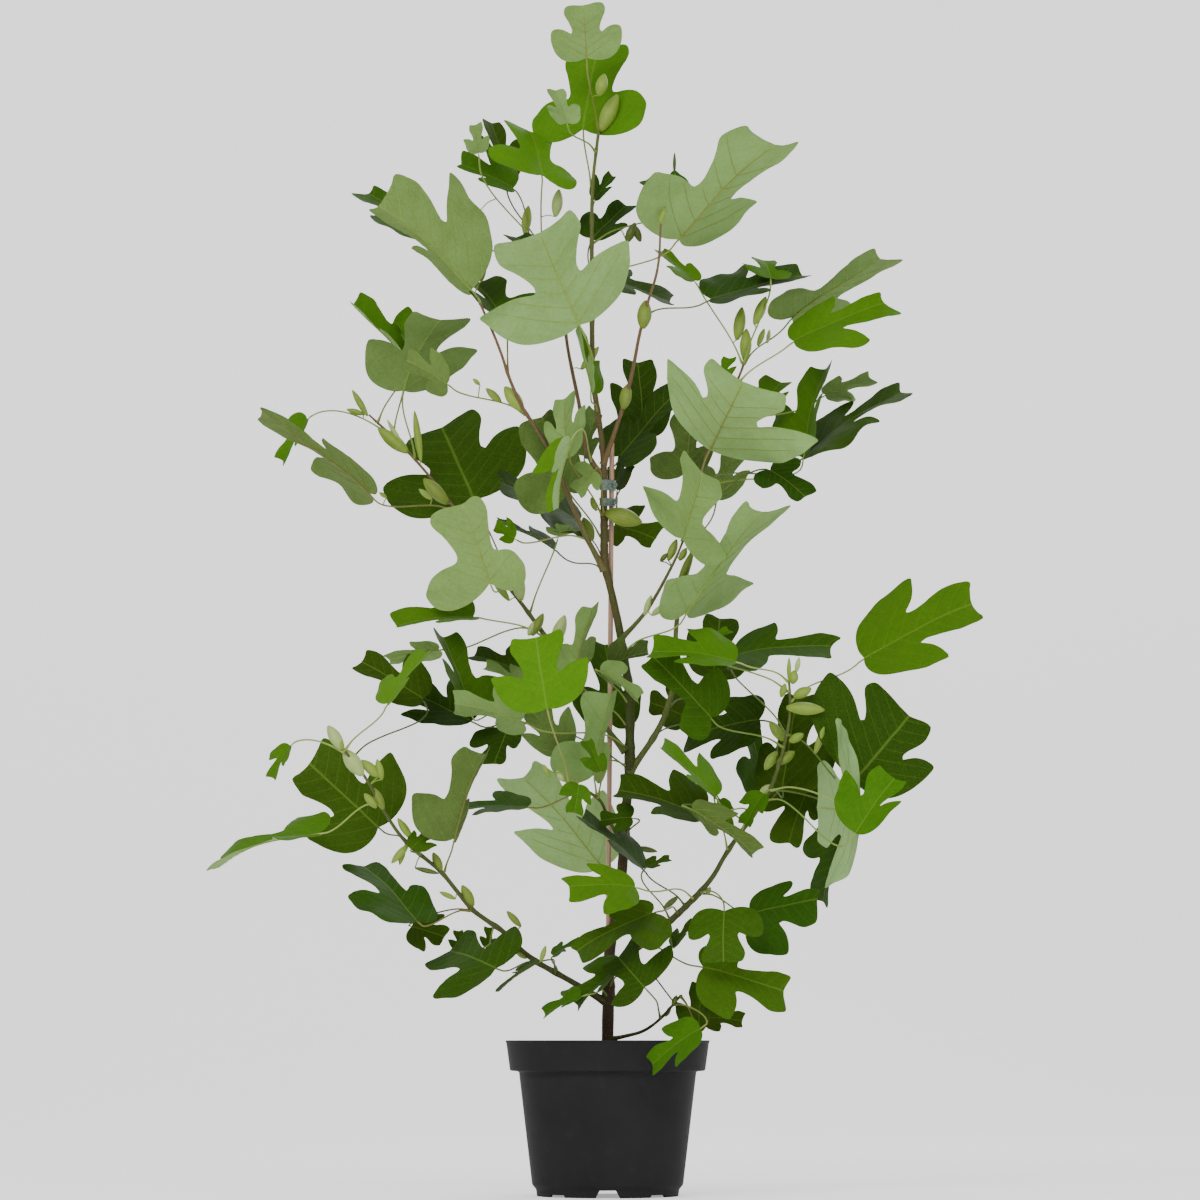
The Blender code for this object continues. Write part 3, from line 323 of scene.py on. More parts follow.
    ("upper", (103, 187), (50, 147), (80, 139), (65, 186), -140, RIM, 219, 12, 0.3, 0.4, 0.35),
    ("upper", (102, 183), (108, 238), (83, 213), (124, 222), -100, RIM, 215, 20, 0.2, 0.9, 0.35),
    ("upper", (18, 258), (-34, 213), (-6, 222), (-22, 250), -70, "trunk", 240, 20, 0.4, 0.7, 0.35),
    ("upper", (-31, 224), (-71, 203), (-50, 207), (-53, 227), -85, "trunk", 225, 15, 0.3, 0.4, 0.35),
    ("upper", (41, 233), (12, 268), (8, 211), (74, 276), -40, RIM, 200, 12, 0.2, 0.8, 0.35),
    ("upper", (75, 279), (98, 306), (80, 299), (92, 290), -20, LOW_RIGHT, 300, 20, 0.2, 0.9, 0.35),
    ("upper", (-166, 276), (-168, 297), (-180, 287), (-158, 286), 10, LOW_LEFT, 285, 10, 0.2, 0.7, 0.35),
    ("upper", (-133, 278), (-134, 301), (-145, 290), (-126, 288), 10, LOW_LEFT, 285, 10, 0.2, 0.7, 0.35),
    ("upper", (-80, 262), (-124, 229), (-104, 240), (-100, 250), -65, LOW_LEFT, 250, 20, 0.2, 0.95, 0.35),
    ("upper", (-62, 270), (-33, 286), (-50, 283), (-45, 271), -40, LOW_LEFT, 252, 15, 0.2, 0.7, 0.35),
    ("upper", (-222, 390), (-200, 410), (-220, 409), (-192, 391), -80, LOW_LEFT, 383, 12, 0.2, 0.6, 0.35),
)

# Stipules, buds and unopened shoots: foot and tip (x, z) on the front elevation, width, and kind.
SPROUTS = (
    (-10, 1256, -3, 1282, 14, "bright"), (-8, 1215, 12, 1258, 18, "bright"),
    (-60, 1115, -55, 1147, 13, "pale"), (-62, 1090, -55, 1110, 9, "bright"),
    (-52, 1088, -46, 1112, 9, "bright"), (-95, 1095, -90, 1128, 12, "bright"),
    (-145, 1040, -145, 1070, 12, "olive"), (-148, 1120, -165, 1137, 7, "bright"),
    (40, 985, 45, 1018, 17, "olive"), (22, 1085, 32, 1108, 11, "dark"), (38, 1086, 30, 1106, 9, "dark"),
    (148, 972, 155, 1010, 14, "bright"), (168, 990, 182, 1022, 12, "bright"),
    (157, 948, 160, 985, 14, "bright"), (77, 1165, 77, 1190, 4, "dark"),
    (172, 965, 180, 985, 7, "bright"), (183, 968, 186, 984, 5, "pale"),
    (-97, 890, -118, 918, 16, "bright"), (-122, 900, -139, 916, 9, "olive"),
    (-146, 920, -154, 927, 5, "bright"), (-228, 842, -262, 870, 16, "bright"),
    (-232, 845, -252, 880, 6, "pale"), (-213, 832, -221, 890, 9, "bright"),
    (-182, 783, -210, 812, 16, "olive"), (-200, 788, -215, 800, 7, "bright"),
    (-274, 884, -292, 914, 8, "bright"), (-278, 886, -298, 892, 7, "bright"),
    (-252, 790, -260, 796, 5, "bright"), (-16, 940, -33, 983, 11, "bright"),
    (-30, 938, -10, 964, 10, "bright"), (-17, 741, -28, 767, 14, "olive"),
    (-13, 775, -19, 790, 7, "olive"), (-2, 773, 39, 763, 22, "olive"), (18, 892, 24, 921, 14, "olive"),
    (69, 718, 79, 742, 10, "olive"), (82, 718, 90, 732, 8, "olive"), (-98, 672, -106, 710, 16, "pale"),
    (-86, 632, -73, 657, 11, "olive"), (-62, 620, -48, 655, 15, "pale"),
    (-90, 632, -83, 648, 8, "pale"), (-112, 672, -132, 700, 9, "bright"), (42, 655, 50, 678, 8, "pale"),
    (50, 655, 67, 668, 8, "pale"), (80, 686, 98, 730, 10, "olive"), (60, 717, 68, 726, 6, "dark"),
    (197, 562, 202, 577, 8, "bright"), (206, 580, 206, 607, 5, "bright"),
    (210, 577, 213, 592, 11, "bright"), (214, 590, 218, 607, 6, "pale"),
    (211, 562, 231, 572, 12, "bright"), (203, 550, 246, 548, 15, "bright"),
    (200, 512, 184, 534, 12, "bright"), (206, 511, 222, 520, 10, "bright"),
    (192, 500, 178, 480, 12, "bright"), (193, 486, 212, 500, 12, "olive"),
    (172, 451, 184, 462, 8, "pale"), (203, 462, 214, 476, 9, "bright"),
    (235, 497, 246, 528, 8, "bright"), (-301, 503, -318, 529, 14, "pale"),
    (-278, 473, -300, 502, 18, "pale"), (-259, 471, -279, 490, 12, "bright"),
    (-256, 468, -262, 491, 9, "bright"), (-254, 434, -265, 458, 10, "olive"),
    (-262, 436, -276, 452, 9, "bright"), (-222, 401, -238, 424, 9, "bright"),
    (-226, 394, -245, 374, 9, "bright"), (-230, 392, -236, 372, 7, "olive"),
    (-218, 368, -191, 362, 6, "dark"), (-188, 365, -198, 385, 10, "olive"),
    (-152, 325, -165, 348, 12, "olive"), (-172, 333, -190, 341, 6, "bright"),
    (-98, 302, -114, 319, 8, "olive"), (-92, 266, -104, 274, 6, "olive"),
    (-76, 262, -70, 280, 6, "bright"), (-67, 471, -73, 485, 6, "bright"),
    (112, 338, 116, 346, 6, "olive"), (73, 213, 78, 224, 6, "dark"), (66, 201, 71, 212, 5, "dark"),
    (125, 620, 144, 622, 12, "bright"), (33, 391, 56, 387, 7, "dark"), (63, 322, 80, 336, 7, "dark"),
    (60, 1108, 66, 1126, 7, "bright"), (-300, 502, -306, 516, 7, "bright"),
    (-50, 466, -58, 478, 7, "pale"),
)


def from_front(x, z, depth):
    """The point at this depth that lies on the front elevation's (x, z), all in metres."""
    scale = 1 + depth / EYE_DISTANCE
    return Vector((x * scale, depth, EYE_HEIGHT + (z - EYE_HEIGHT) * scale))


def smooth_route(points, step):
    """Points about this far apart along the Catmull-Rom curve through the given ones."""
    ends = [2 * points[0] - points[1]] + list(points) + [2 * points[-1] - points[-2]]
    route = []
    for p0, p1, p2, p3 in zip(ends, ends[1:], ends[2:], ends[3:]):
        pieces = max(1, round((p2 - p1).length / step))
        for i in range(pieces):
            t = i / pieces
            route.append(
                0.5 * (2 * p1 + (p2 - p0) * t + (2 * p0 - 5 * p1 + 4 * p2 - p3) * t**2
                       + (3 * p1 - p0 - 3 * p2 + p3) * t**3)
            )
    route.append(points[-1].copy())
    return route


def stem_route(name):
    """(points, radii) of a stem's axis from its foot to its tip."""
    marks, start_depth, end_depth, start_radius, end_radius = STEMS[name]
    lengths = [0.0]
    for (x0, z0), (x1, z1) in zip(marks, marks[1:]):
        lengths.append(lengths[-1] + math.hypot(x1 - x0, z1 - z0))
    points = []
    for (x, z), length in zip(marks, lengths):
        depth = start_depth + (end_depth - start_depth) * length / lengths[-1]
        points.append(from_front(x * MM, z * MM, depth * MM))
    route = smooth_route(points, ROUTE_STEP)
    last = len(route) - 1
    radii = [(start_radius + (end_radius - start_radius) * i / last) * MM for i in range(last + 1)]
    return route, radii


def cane_at(height):
    """The middle of the cane at this height."""
    return CANE_FOOT.lerp(CANE_TOP, (height - CANE_FOOT.z) / (CANE_TOP.z - CANE_FOOT.z))


def cane_skin():
    """(points, radii) of the cane."""
    route = [CANE_FOOT.lerp(CANE_TOP, i / CANE_PIECES) for i in range(CANE_PIECES + 1)]
    return route, [CANE_RADIUS] * len(route)


def distance_to_stem(route, radii, point):
    """How far the point is from the stem's surface."""
    distances = []
    for low, high, radius in zip(route, route[1:], radii):
        run = high - low
        t = min(max((point - low).dot(run) / run.length_squared, 0.0), 1.0)
        distances.append((point - low - run * t).length - radius)
    return min(distances)


def clear_of_trunk(route, radii, trunk):
    """The branch without the stretch that would lie inside the trunk."""
    start = 0
    while distance_to_stem(*trunk, route[start]) < radii[start] + 2 * GAP:
        start += 1
    return route[start:], radii[start:]


def lobe_marks(leaf):
    """How far along the blade its drawn side lobes are, and how much further out the right one reaches."""
    base, tip, left, right = (Vector(mark) for mark in leaf[1:5])
    across, along, middle = right - left, tip - base, (left + right) / 2 - base
    low, high = LOBE_HEIGHT_RANGE
    height = across.cross(middle) / across.cross(along)
    lean = 2 * middle.cross(along) / across.cross(along)
    if leaf[0] == "under":
        lean = -lean
    return min(max(height, low), high), min(max(lean, -MOST_LEAN), MOST_LEAN)


def with_lobe_at(half, lobe, sinus, height):
    """The half outline with its side lobe, from point lobe (its tip) to point sinus, at this height."""
    moved = []
    for i, (p, q) in enumerate(half):
        if i <= lobe:
            share = (i + 1) / (lobe + 1)
        elif i <= sinus:
            share = 1 - (1 - LOWEST_SHARE) * (i - lobe) / (sinus - lobe)
        else:
            share = max(0.0, LOWEST_SHARE - SHARE_DROP * (i - sinus))
        moved.append((p, q + (height - LOBE_HEIGHT) * share))
    return moved


def solve_blade(leaf):
    """A leaf's frame from its drawn marks: base, length, and unit vectors across, along and up.

    The drawn base, tip and lobes fix the blade's plane, up to a mirror image. The one whose
    upper face looks up is taken.
    """
    face, base, tip, left, right, depth = leaf[:6]
    along = Vector((tip[0] - base[0], tip[1] - base[1]))
    across = Vector((right[0] - left[0], right[1] - left[1]))
    if face == "under":
        across.negate()
    low, high = WIDTH_RANGE
    width = min(max(across.length / along.length, low), high)
    across /= width
    skew = across.dot(along) / (across.length * along.length)
    if abs(skew) > MOST_SKEW:
        extra = skew - math.copysign(MOST_SKEW, skew)
        across -= along * (extra * across.length / along.length)
    dot = across.dot(along)
    aa, bb = across.length_squared, along.length_squared
    size = math.sqrt((aa + bb + math.sqrt((aa - bb) ** 2 + 4 * dot**2)) / 2)
    across_depth = math.sqrt(max(size**2 - aa, 0.0))
    along_depth = math.sqrt(max(size**2 - bb, 0.0))
    best = None
    for turn in (1, -1):
        a3 = turn * across_depth
        b3 = -math.copysign(along_depth, dot * a3)
        x_axis = Vector((across.x, a3, across.y)).normalized()
        y_axis = Vector((along.x, b3, along.y)).normalized()
        up = x_axis.cross(y_axis).normalized()
        if best is None or up.z > best[3].z:
            best = (size * MM, x_axis, y_axis, up)
    length, x_axis, y_axis, up = best
    middle = from_front((base[0] + tip[0]) / 2 * MM, (base[1] + tip[1]) / 2 * MM, depth * MM)
    length *= 1 + depth * MM / EYE_DISTANCE
    return middle - y_axis * length / 2, length, width, x_axis, y_axis, up


def blade_point(frame, fold, curl, across, along):
    """Where the blade's flat (across, along) lies, and how thick the blade is there."""
    base, length, width, x_axis, y_axis, up = frame
    p = across * width / (2 * LOBE_REACH)
    rise = math.sin(math.radians(fold)) * (math.hypot(p, FOLD_ROUNDING) - FOLD_ROUNDING)
    p_flat = p * math.cos(math.radians(fold) * FOLD_NARROWING)
    half_turn = curl / 2
    chord = math.sin(half_turn) / half_turn
    bend = curl * along - half_turn
    q_flat = (math.sin(bend) + math.sin(half_turn)) / (2 * math.sin(half_turn))
    rise += (math.cos(bend) - math.cos(half_turn)) / (curl * chord)
    rise -= EDGE_DROOP * p * p
    collar = max(0.0, 1 - along / COLLAR_LENGTH - abs(p) / COLLAR_HALF_WIDTH)
    thickness = BLADE_THICKNESS + 2 * PETIOLE_HALF * collar * COLLAR_SHARE
    return base + (x_axis * p_flat + y_axis * q_flat + up * rise) * length, thickness


def petiole_route(foot, frame):
    """Points from the blade's base back to the stem."""
    base, _, _, _, y_axis, up = frame
    reach = (base - foot).length
    lead = base - (y_axis + up * STALK_RISE).normalized() * reach * STALK_BEND
    rising = (base - foot).normalized() + Vector((0, 0, STALK_RISE))
    leave = foot + rising.normalized() * reach * STALK_BEND
    route = []
    for i in range(PETIOLE_SECTIONS + 1):
        t = i / PETIOLE_SECTIONS
        near_base = base * (1 - t) ** 3 + lead * 3 * t * (1 - t) ** 2
        near_foot = leave * 3 * t * t * (1 - t) + foot * t**3
        route.append(near_base + near_foot)
    return route


def leaf_solid(leaf, stems, shift, lift):
    """(vertices, faces) of a leaf: a thin blade whose base runs on as its petiole, one closed skin."""
    depth, stem, height, fold, curl = leaf[5:10]
    frame = solve_blade(leaf[:5] + (depth + shift / MM,))
    origin, length, width, x_axis, _, up = frame
    corner = PETIOLE_HALF / length * 2 * LOBE_REACH / width
    lobe, lean = lobe_marks(leaf)
    half = [(corner, 0.0)] + with_lobe_at(HALF_BLADE, BLADE_LOBE, BLADE_SINUS, lobe)
    outline = [(p * (1 + lean), q) for p, q in half] + [(0.0, 1.0)]
    outline += [(-p * (1 - lean), q) for p, q in reversed(half)]
    rim = len(outline)
    flat = [Vector(p) for p in outline] + [Vector((0.0, q)) for q in MIDRIB_STATIONS]
    edges = [(i, (i + 1) % rim) for i in range(rim)]
    found = delaunay_2d_cdt(flat, edges, [], 1, 1e-6)
    flat, triangles = found[0], found[2]
    upper, lower = [], []
    for spot in flat:
        point, thickness = blade_point(frame, fold, curl, spot.x, spot.y)
        upper.append(point + up * thickness / 2)
        lower.append(point - up * thickness / 2)
    count = len(flat)
    vertices = upper + lower
    faces = []
    for a, b, c in triangles:
        if (flat[b] - flat[a]).cross(flat[c] - flat[a]) < 0:
            b, c = c, b
        faces += [(a, b, c), (count + a, count + c, count + b)]
    for i in range(rim - 1):
        faces.append((i + 1, i, count + i, count + i + 1))
    node, radius, heading = stem_point(stems, stem, height, lift)
    side = origin - node
    side = (side - heading * side.dot(heading)).normalized()
    foot = node + side * (radius + PETIOLE_HALF * FOOT_CLEARANCE + GAP)
    ring = [rim - 1, 0, count, count + rim - 1]
    x_side, up_side = x_axis.copy(), up.copy()
    path = petiole_route(foot, frame)
    for i in range(1, len(path)):
        heading = (path[i] - path[i - 1]).normalized()
        x_side = (x_side - heading * x_side.dot(heading)).normalized()
        up_side = (up_side - heading * up_side.dot(heading)).normalized()
        up_side = (up_side - x_side * up_side.dot(x_side)).normalized()
        start = len(vertices)
        for across, rise in ((-1, 1), (1, 1), (1, -1), (-1, -1)):
            vertices.append(path[i] + (x_side * across + up_side * rise) * PETIOLE_HALF)
        for j in range(4):
            k = (j + 1) % 4
            faces.append((ring[k], ring[j], start + j, start + k))
        ring = [start + j for j in range(4)]
    faces.append(tuple(ring))
    return vertices, faces


def tube_skin(route, radii, sides=8):
    """(vertices, faces) of a plain closed tube, for finding where a leaf would meet a stem."""
    vertices, faces = [], []
    side = Vector((0, 1, 0))
    for i, point in enumerate(route):
        heading = (route[min(i + 1, len(route) - 1)] - route[max(i - 1, 0)]).normalized()
        side = (side - heading * side.dot(heading)).normalized()
        other = heading.cross(side)
        for j in range(sides):
            turn = 2 * math.pi * j / sides
            vertices.append(point + (side * math.cos(turn) + other * math.sin(turn)) * (radii[i] + GAP))
    for i in range(len(route) - 1):
        for j in range(sides):
            k = (j + 1) % sides
            faces.append((i * sides + j, i * sides + k, (i + 1) * sides + k, (i + 1) * sides + j))
    faces.append(tuple(range(sides)))
    faces.append(tuple(len(vertices) - sides + j for j in range(sides)))
    return vertices, faces


class Placed:
    """The pieces placed so far, to keep each new leaf clear of them."""

    def __init__(self):
        self.trees = []

    def add(self, skin):
        vertices, faces = skin
        low = Vector([min(v[i] for v in vertices) for i in range(3)])
        high = Vector([max(v[i] for v in vertices) for i in range(3)])
        self.trees.append((low, high, BVHTree.FromPolygons(vertices, faces)))

    def meets(self, skin):
        vertices, faces = skin
        low = [min(v[i] for v in vertices) - GAP for i in range(3)]
        high = [max(v[i] for v in vertices) + GAP for i in range(3)]
        tree = None
        for other_low, other_high, other in self.trees:
            if all(low[i] < other_high[i] and high[i] > other_low[i] for i in range(3)):
                tree = tree or BVHTree.FromPolygons(vertices, faces)
                if tree.overlap(other):
                    return True
        return False


def place_leaf(leaf, stems, placed):
    """The nearest depth, then the nearest node up or down the stem, where the leaf meets nothing."""
    for n in range(MOST_SHIFTS):
        for lift in LIFTS:
            for side in (-1, 1):
                shift = side * n * SHIFT_STEP
                skin = leaf_solid(leaf, stems, shift, lift)
                if not placed.meets(skin):
                    placed.add(skin)
                    return shift, lift, skin
    raise ValueError(f"no free place for the leaf at {leaf[1]}")


def grow_stems():
    """Each stem's (route, radii), the branches trimmed where they would enter the trunk."""
    stems = {"trunk": stem_route("trunk")}
    for name in STEMS:
        if name != "trunk":
            stems[name] = clear_of_trunk(*stem_route(name), stems["trunk"])
    return stems


# ---------------------------------------------------------------- fine leaves

# Right halves of a pointed and of a round outline, from the petiole to the notch, as (across, along), with
# length 1. A leaf's own outline lies between them.
POINTED_HALF = (
    (0.085, -0.010), (0.19, 0.020), (0.29, 0.075), (0.375, 0.15), (0.44, 0.25), (0.49, 0.36),
    (0.53, 0.48), (0.575, 0.62), (0.475, 0.595), (0.385, 0.570), (0.300, 0.540), (0.225, 0.495),
    (0.170, 0.460), (0.158, 0.52), (0.190, 0.62), (0.245, 0.74), (0.290, 0.84), (0.295, 0.93),
    (0.265, 1.085), (0.175, 1.035), (0.08, 1.008),
)
ROUND_HALF = (
    (0.100, -0.040), (0.24, -0.060), (0.38, -0.020), (0.48, 0.08), (0.535, 0.20), (0.56, 0.33),
    (0.565, 0.45), (0.54, 0.565), (0.480, 0.610), (0.405, 0.605), (0.330, 0.570), (0.265, 0.520),
    (0.220, 0.490), (0.205, 0.53), (0.230, 0.62), (0.270, 0.72), (0.310, 0.82), (0.325, 0.92),
    (0.285, 1.020), (0.185, 1.045), (0.08, 1.018),
)
LOBE_TIP = 7
SINUS = 12
CORNER_TIP = 18
FINE_STEP = 0.036
LEAF_THICKNESS = 0.0005
VEIN_START = 0.03
VEIN_SPACING = 0.150
VEIN_SLOPE = 0.62
VEIN_BEND = 0.42
VEINS_A_SIDE = 5
MIDRIB_RADIUS = 0.0011
SIDE_RIB_RADIUS = 0.00045
MIDRIB_PIECES = 16
MIDRIB_END = 0.96  # how far along the blade the raised midrib runs
SIDE_RIB_MARKS = 40
SIDE_RIB_STEP = 0.013
NET_HALF_COLUMNS = 24
NET_LOW = -0.15
NET_HEIGHT = 1.32
STALK_RADIUS = 0.00095
STALK_FOOT_SWELL = 0.0013
STALK_STEP = 0.006


def outline_half(shape, roundness, lobe, reach):
    """One half of a leaf's outline, its lobe at this height, with small differences between leaves."""
    wide = reach * shape.uniform(0.98, 1.06)
    lobe += shape.uniform(-0.03, 0.03)
    sinus_in = shape.uniform(-0.02, 0.04)
    corner_out = shape.uniform(-0.04, 0.03)
    corner_rise = shape.uniform(-0.04, 0.015)
    blend = [Vector(a).lerp(Vector(b), roundness) for a, b in zip(POINTED_HALF, ROUND_HALF)]
    half = []
    for i, (p, q) in enumerate(with_lobe_at(blend, LOBE_TIP, SINUS, lobe)):
        near_sinus = math.exp(-(((i - SINUS) / 1.8) ** 2))
        near_corner = math.exp(-(((i - CORNER_TIP) / 2.0) ** 2))
        p = p * wide + sinus_in * near_sinus + corner_out * near_corner
        half.append(Vector((p, q + corner_rise * near_corner)))
    return half


def leaf_outline(shape, roundness, lobe, lean):
    """The whole closed outline, anticlockwise from the petiole, in even steps."""
    right = outline_half(shape, roundness, lobe, 1 + lean)
    left = outline_half(shape, roundness, lobe, 1 - lean)
    marks = [Vector((0.0, 0.0))] + right + [Vector((0.0, 1.0))]
    marks += [Vector((-p.x, p.y)) for p in reversed(left)] + [Vector((0.0, 0.0))]
    return smooth_route(marks, FINE_STEP)[:-1]


def inside(points, outline):
    """Which of the points lie inside the outline, by counting crossings."""
    x, y = points[:, 0], points[:, 1]
    odd = np.zeros(len(points), bool)
    for a, b in zip(outline, np.roll(outline, -1, axis=0)):
        if a[1] == b[1]:
            continue
        spans = (a[1] > y) != (b[1] > y)
        odd ^= spans & (x < (b[0] - a[0]) * (y - a[1]) / (b[1] - a[1]) + a[0])
    return odd


def leaf_net(outline):
    """(points, triangles) filling the outline, with the inner points on an even net."""
    rim = np.array([(p.x, p.y) for p in outline])
    rows = []
    height = FINE_STEP * math.sqrt(3) / 2
    for j in range(int(NET_HEIGHT / height)):
        for i in range(-NET_HALF_COLUMNS, NET_HALF_COLUMNS + 1):
            rows.append(((i + 0.5 * (j % 2)) * FINE_STEP, NET_LOW + j * height))
    net = np.array(rows)
    net = net[inside(net, rim)]
    gaps = np.sqrt(((net[:, None, :] - rim[None, :, :]) ** 2).sum(axis=2)).min(axis=1)
    net = net[gaps > FINE_STEP * 0.55]
    flat = [Vector(p) for p in rim] + [Vector(p) for p in net]
    count = len(rim)
    edges = [(i, (i + 1) % count) for i in range(count)]
    found = delaunay_2d_cdt(flat, edges, [], 1, 1e-7)
    triangles = []
    for a, b, c in found[2]:
        if (found[0][b] - found[0][a]).cross(found[0][c] - found[0][a]) < 0:
            b, c = c, b
        triangles.append((a, b, c))
    return found[0], triangles, count


def vein_height(p, q):
    """How near the spot is to a vein: 1 on it and 0 between veins."""
    run = (q - VEIN_START - VEIN_SLOPE * abs(p) - VEIN_BEND * p * p) / VEIN_SPACING
    side = abs(run - round(run)) * VEIN_SPACING
    return max(math.exp(-((side / 0.018) ** 2)) * 0.7, math.exp(-((p / 0.022) ** 2)))


class Surface:
    """A leaf's blade in space: the CAD blade with ripples, drooping lobes and sunken veins."""

    def __init__(self, frame_, fold, curl, shape):
        self.frame = frame_
        self.fold = fold
        self.curl = curl
        self.length = frame_[1]
        self.phase = [shape.uniform(0, 2 * math.pi) for _ in range(4)]
        self.ripple = shape.uniform(0.012, 0.024)
        self.lobes = [shape.uniform(-0.16, 0.10) for _ in range(2)]
        self.tips = [shape.uniform(-0.12, 0.08) for _ in range(2)]

    def at(self, p, q):
        spot = blade_point(self.frame, self.fold, self.curl, p, q)[0]
        away = min(abs(p) / 0.5, 1.2)
        rise = self.ripple * away * math.sin(2 * math.pi * 1.5 * q + 3 * p + self.phase[0])
        rise += self.ripple * 0.5 * away**2 * math.sin(2 * math.pi * 3.1 * q - 5 * p + self.phase[1])
        rise += self.ripple * 0.4 * math.sin(2 * math.pi * 1.1 * q + self.phase[2])
        side = 0 if p < 0 else 1
        rise += self.lobes[side] * max(0.0, abs(p) - 0.2) ** 2 * 2
        rise += self.tips[side] * max(0.0, q - 0.7) ** 2 * 2 * min(1.0, abs(p) / 0.2)
        rise += 0.005 * (0.5 - vein_height(p, q))
        return spot + self.frame[5] * rise * self.length

    def normal(self, p, q):
        step = 0.01
        across = self.at(p + step, q) - self.at(p - step, q)
        along = self.at(p, q + step) - self.at(p, q - step)
        return across.cross(along).normalized()


class Shape:
    """Vertices, faces and marks gathered for one object."""

    def __init__(self):
        self.vertices = []
        self.faces = []
        self.slots = []
        self.spots = []

    def add(self, vertices, faces, slot, spots):
        start = len(self.vertices)
        self.vertices += [tuple(v) for v in vertices]
        self.faces += [tuple(start + i for i in face) for face in faces]
        self.slots += [slot] * len(faces)
        self.spots += [tuple(s) for s in spots]

    def make(self, name, materials, tone=(0.5, 0.5, 0.5), sharp=50):
        mesh = bpy.data.meshes.new(name)
        mesh.from_pydata(self.vertices, [], self.faces)
        for material in materials:
            mesh.materials.append(material)
        mesh.polygons.foreach_set("material_index", self.slots)
        spots = mesh.attributes.new("spot", "FLOAT_VECTOR", "POINT")
        spots.data.foreach_set("vector", np.array(self.spots, np.float32).ravel())
        tones = mesh.attributes.new("tone", "FLOAT_VECTOR", "POINT")
        tones.data.foreach_set("vector", np.tile(np.array(tone, np.float32), len(self.vertices)))
        mesh.shade_smooth()
        mesh.set_sharp_from_angle(angle=math.radians(sharp))
        obj = bpy.data.objects.new(name, mesh)
        bpy.context.scene.collection.objects.link(obj)
        return obj


def tube(route, radii, sides):
    """(vertices, faces, spots) of a tube with rounded ends. A spot is (turn, distance along, radius)."""
    side = Vector((0.3, 1, 0.2))
    vertices, faces, spots = [], [], []
    travelled = 0.0
    for i, point in enumerate(route):
        heading = (route[min(i + 1, len(route) - 1)] - route[max(i - 1, 0)]).normalized()
        side = (side - heading * side.dot(heading)).normalized()
        other = heading.cross(side)
        if i:
            travelled += (point - route[i - 1]).length
        for j in range(sides):
            turn = 2 * math.pi * j / sides
            vertices.append(point + (side * math.cos(turn) + other * math.sin(turn)) * radii[i])
            spots.append((j / sides, travelled, radii[i]))
    for i in range(len(route) - 1):
        for j in range(sides):
            k = (j + 1) % sides
            faces.append((i * sides + j, i * sides + k, (i + 1) * sides + k, (i + 1) * sides + j))
    faces.append(tuple(range(sides - 1, -1, -1)))
    faces.append(tuple(len(vertices) - sides + j for j in range(sides)))
    return vertices, faces, spots


def stem_point(stems, name, height, lift):
    """The node of a stem at this height on the front elevation: (place, radius, heading)."""
    route, radii = stems[name]
    target = from_front(0.0, height * MM, 0.0).z + lift
    i = min(range(len(route)), key=lambda j: abs(route[j].z - target))
    heading = (route[min(i + 1, len(route) - 1)] - route[max(i - 1, 0)]).normalized()
    return route[i], radii[i], heading


def petiole(stems, leaf, frame_, lift):
    """(points, radii) of a leaf stalk, swollen at its foot, from inside the stem to the blade."""
    node, radius, heading = stem_point(stems, leaf[6], leaf[7], lift)
    side = frame_[0] - node
    side = (side - heading * side.dot(heading)).normalized()
    foot = node + side * (radius + PETIOLE_HALF)
    route = smooth_route(petiole_route(foot, frame_), STALK_STEP)[::-1]
    route = [node] + route
    radii = []
    for i in range(len(route)):
        near_foot = math.exp(-(route[i] - route[0]).length / 0.006)
        near_blade = math.exp(-(route[i] - route[-1]).length / 0.008)
        radii.append(STALK_RADIUS + STALK_FOOT_SWELL * near_foot + 0.0002 * near_blade)
    return route, radii


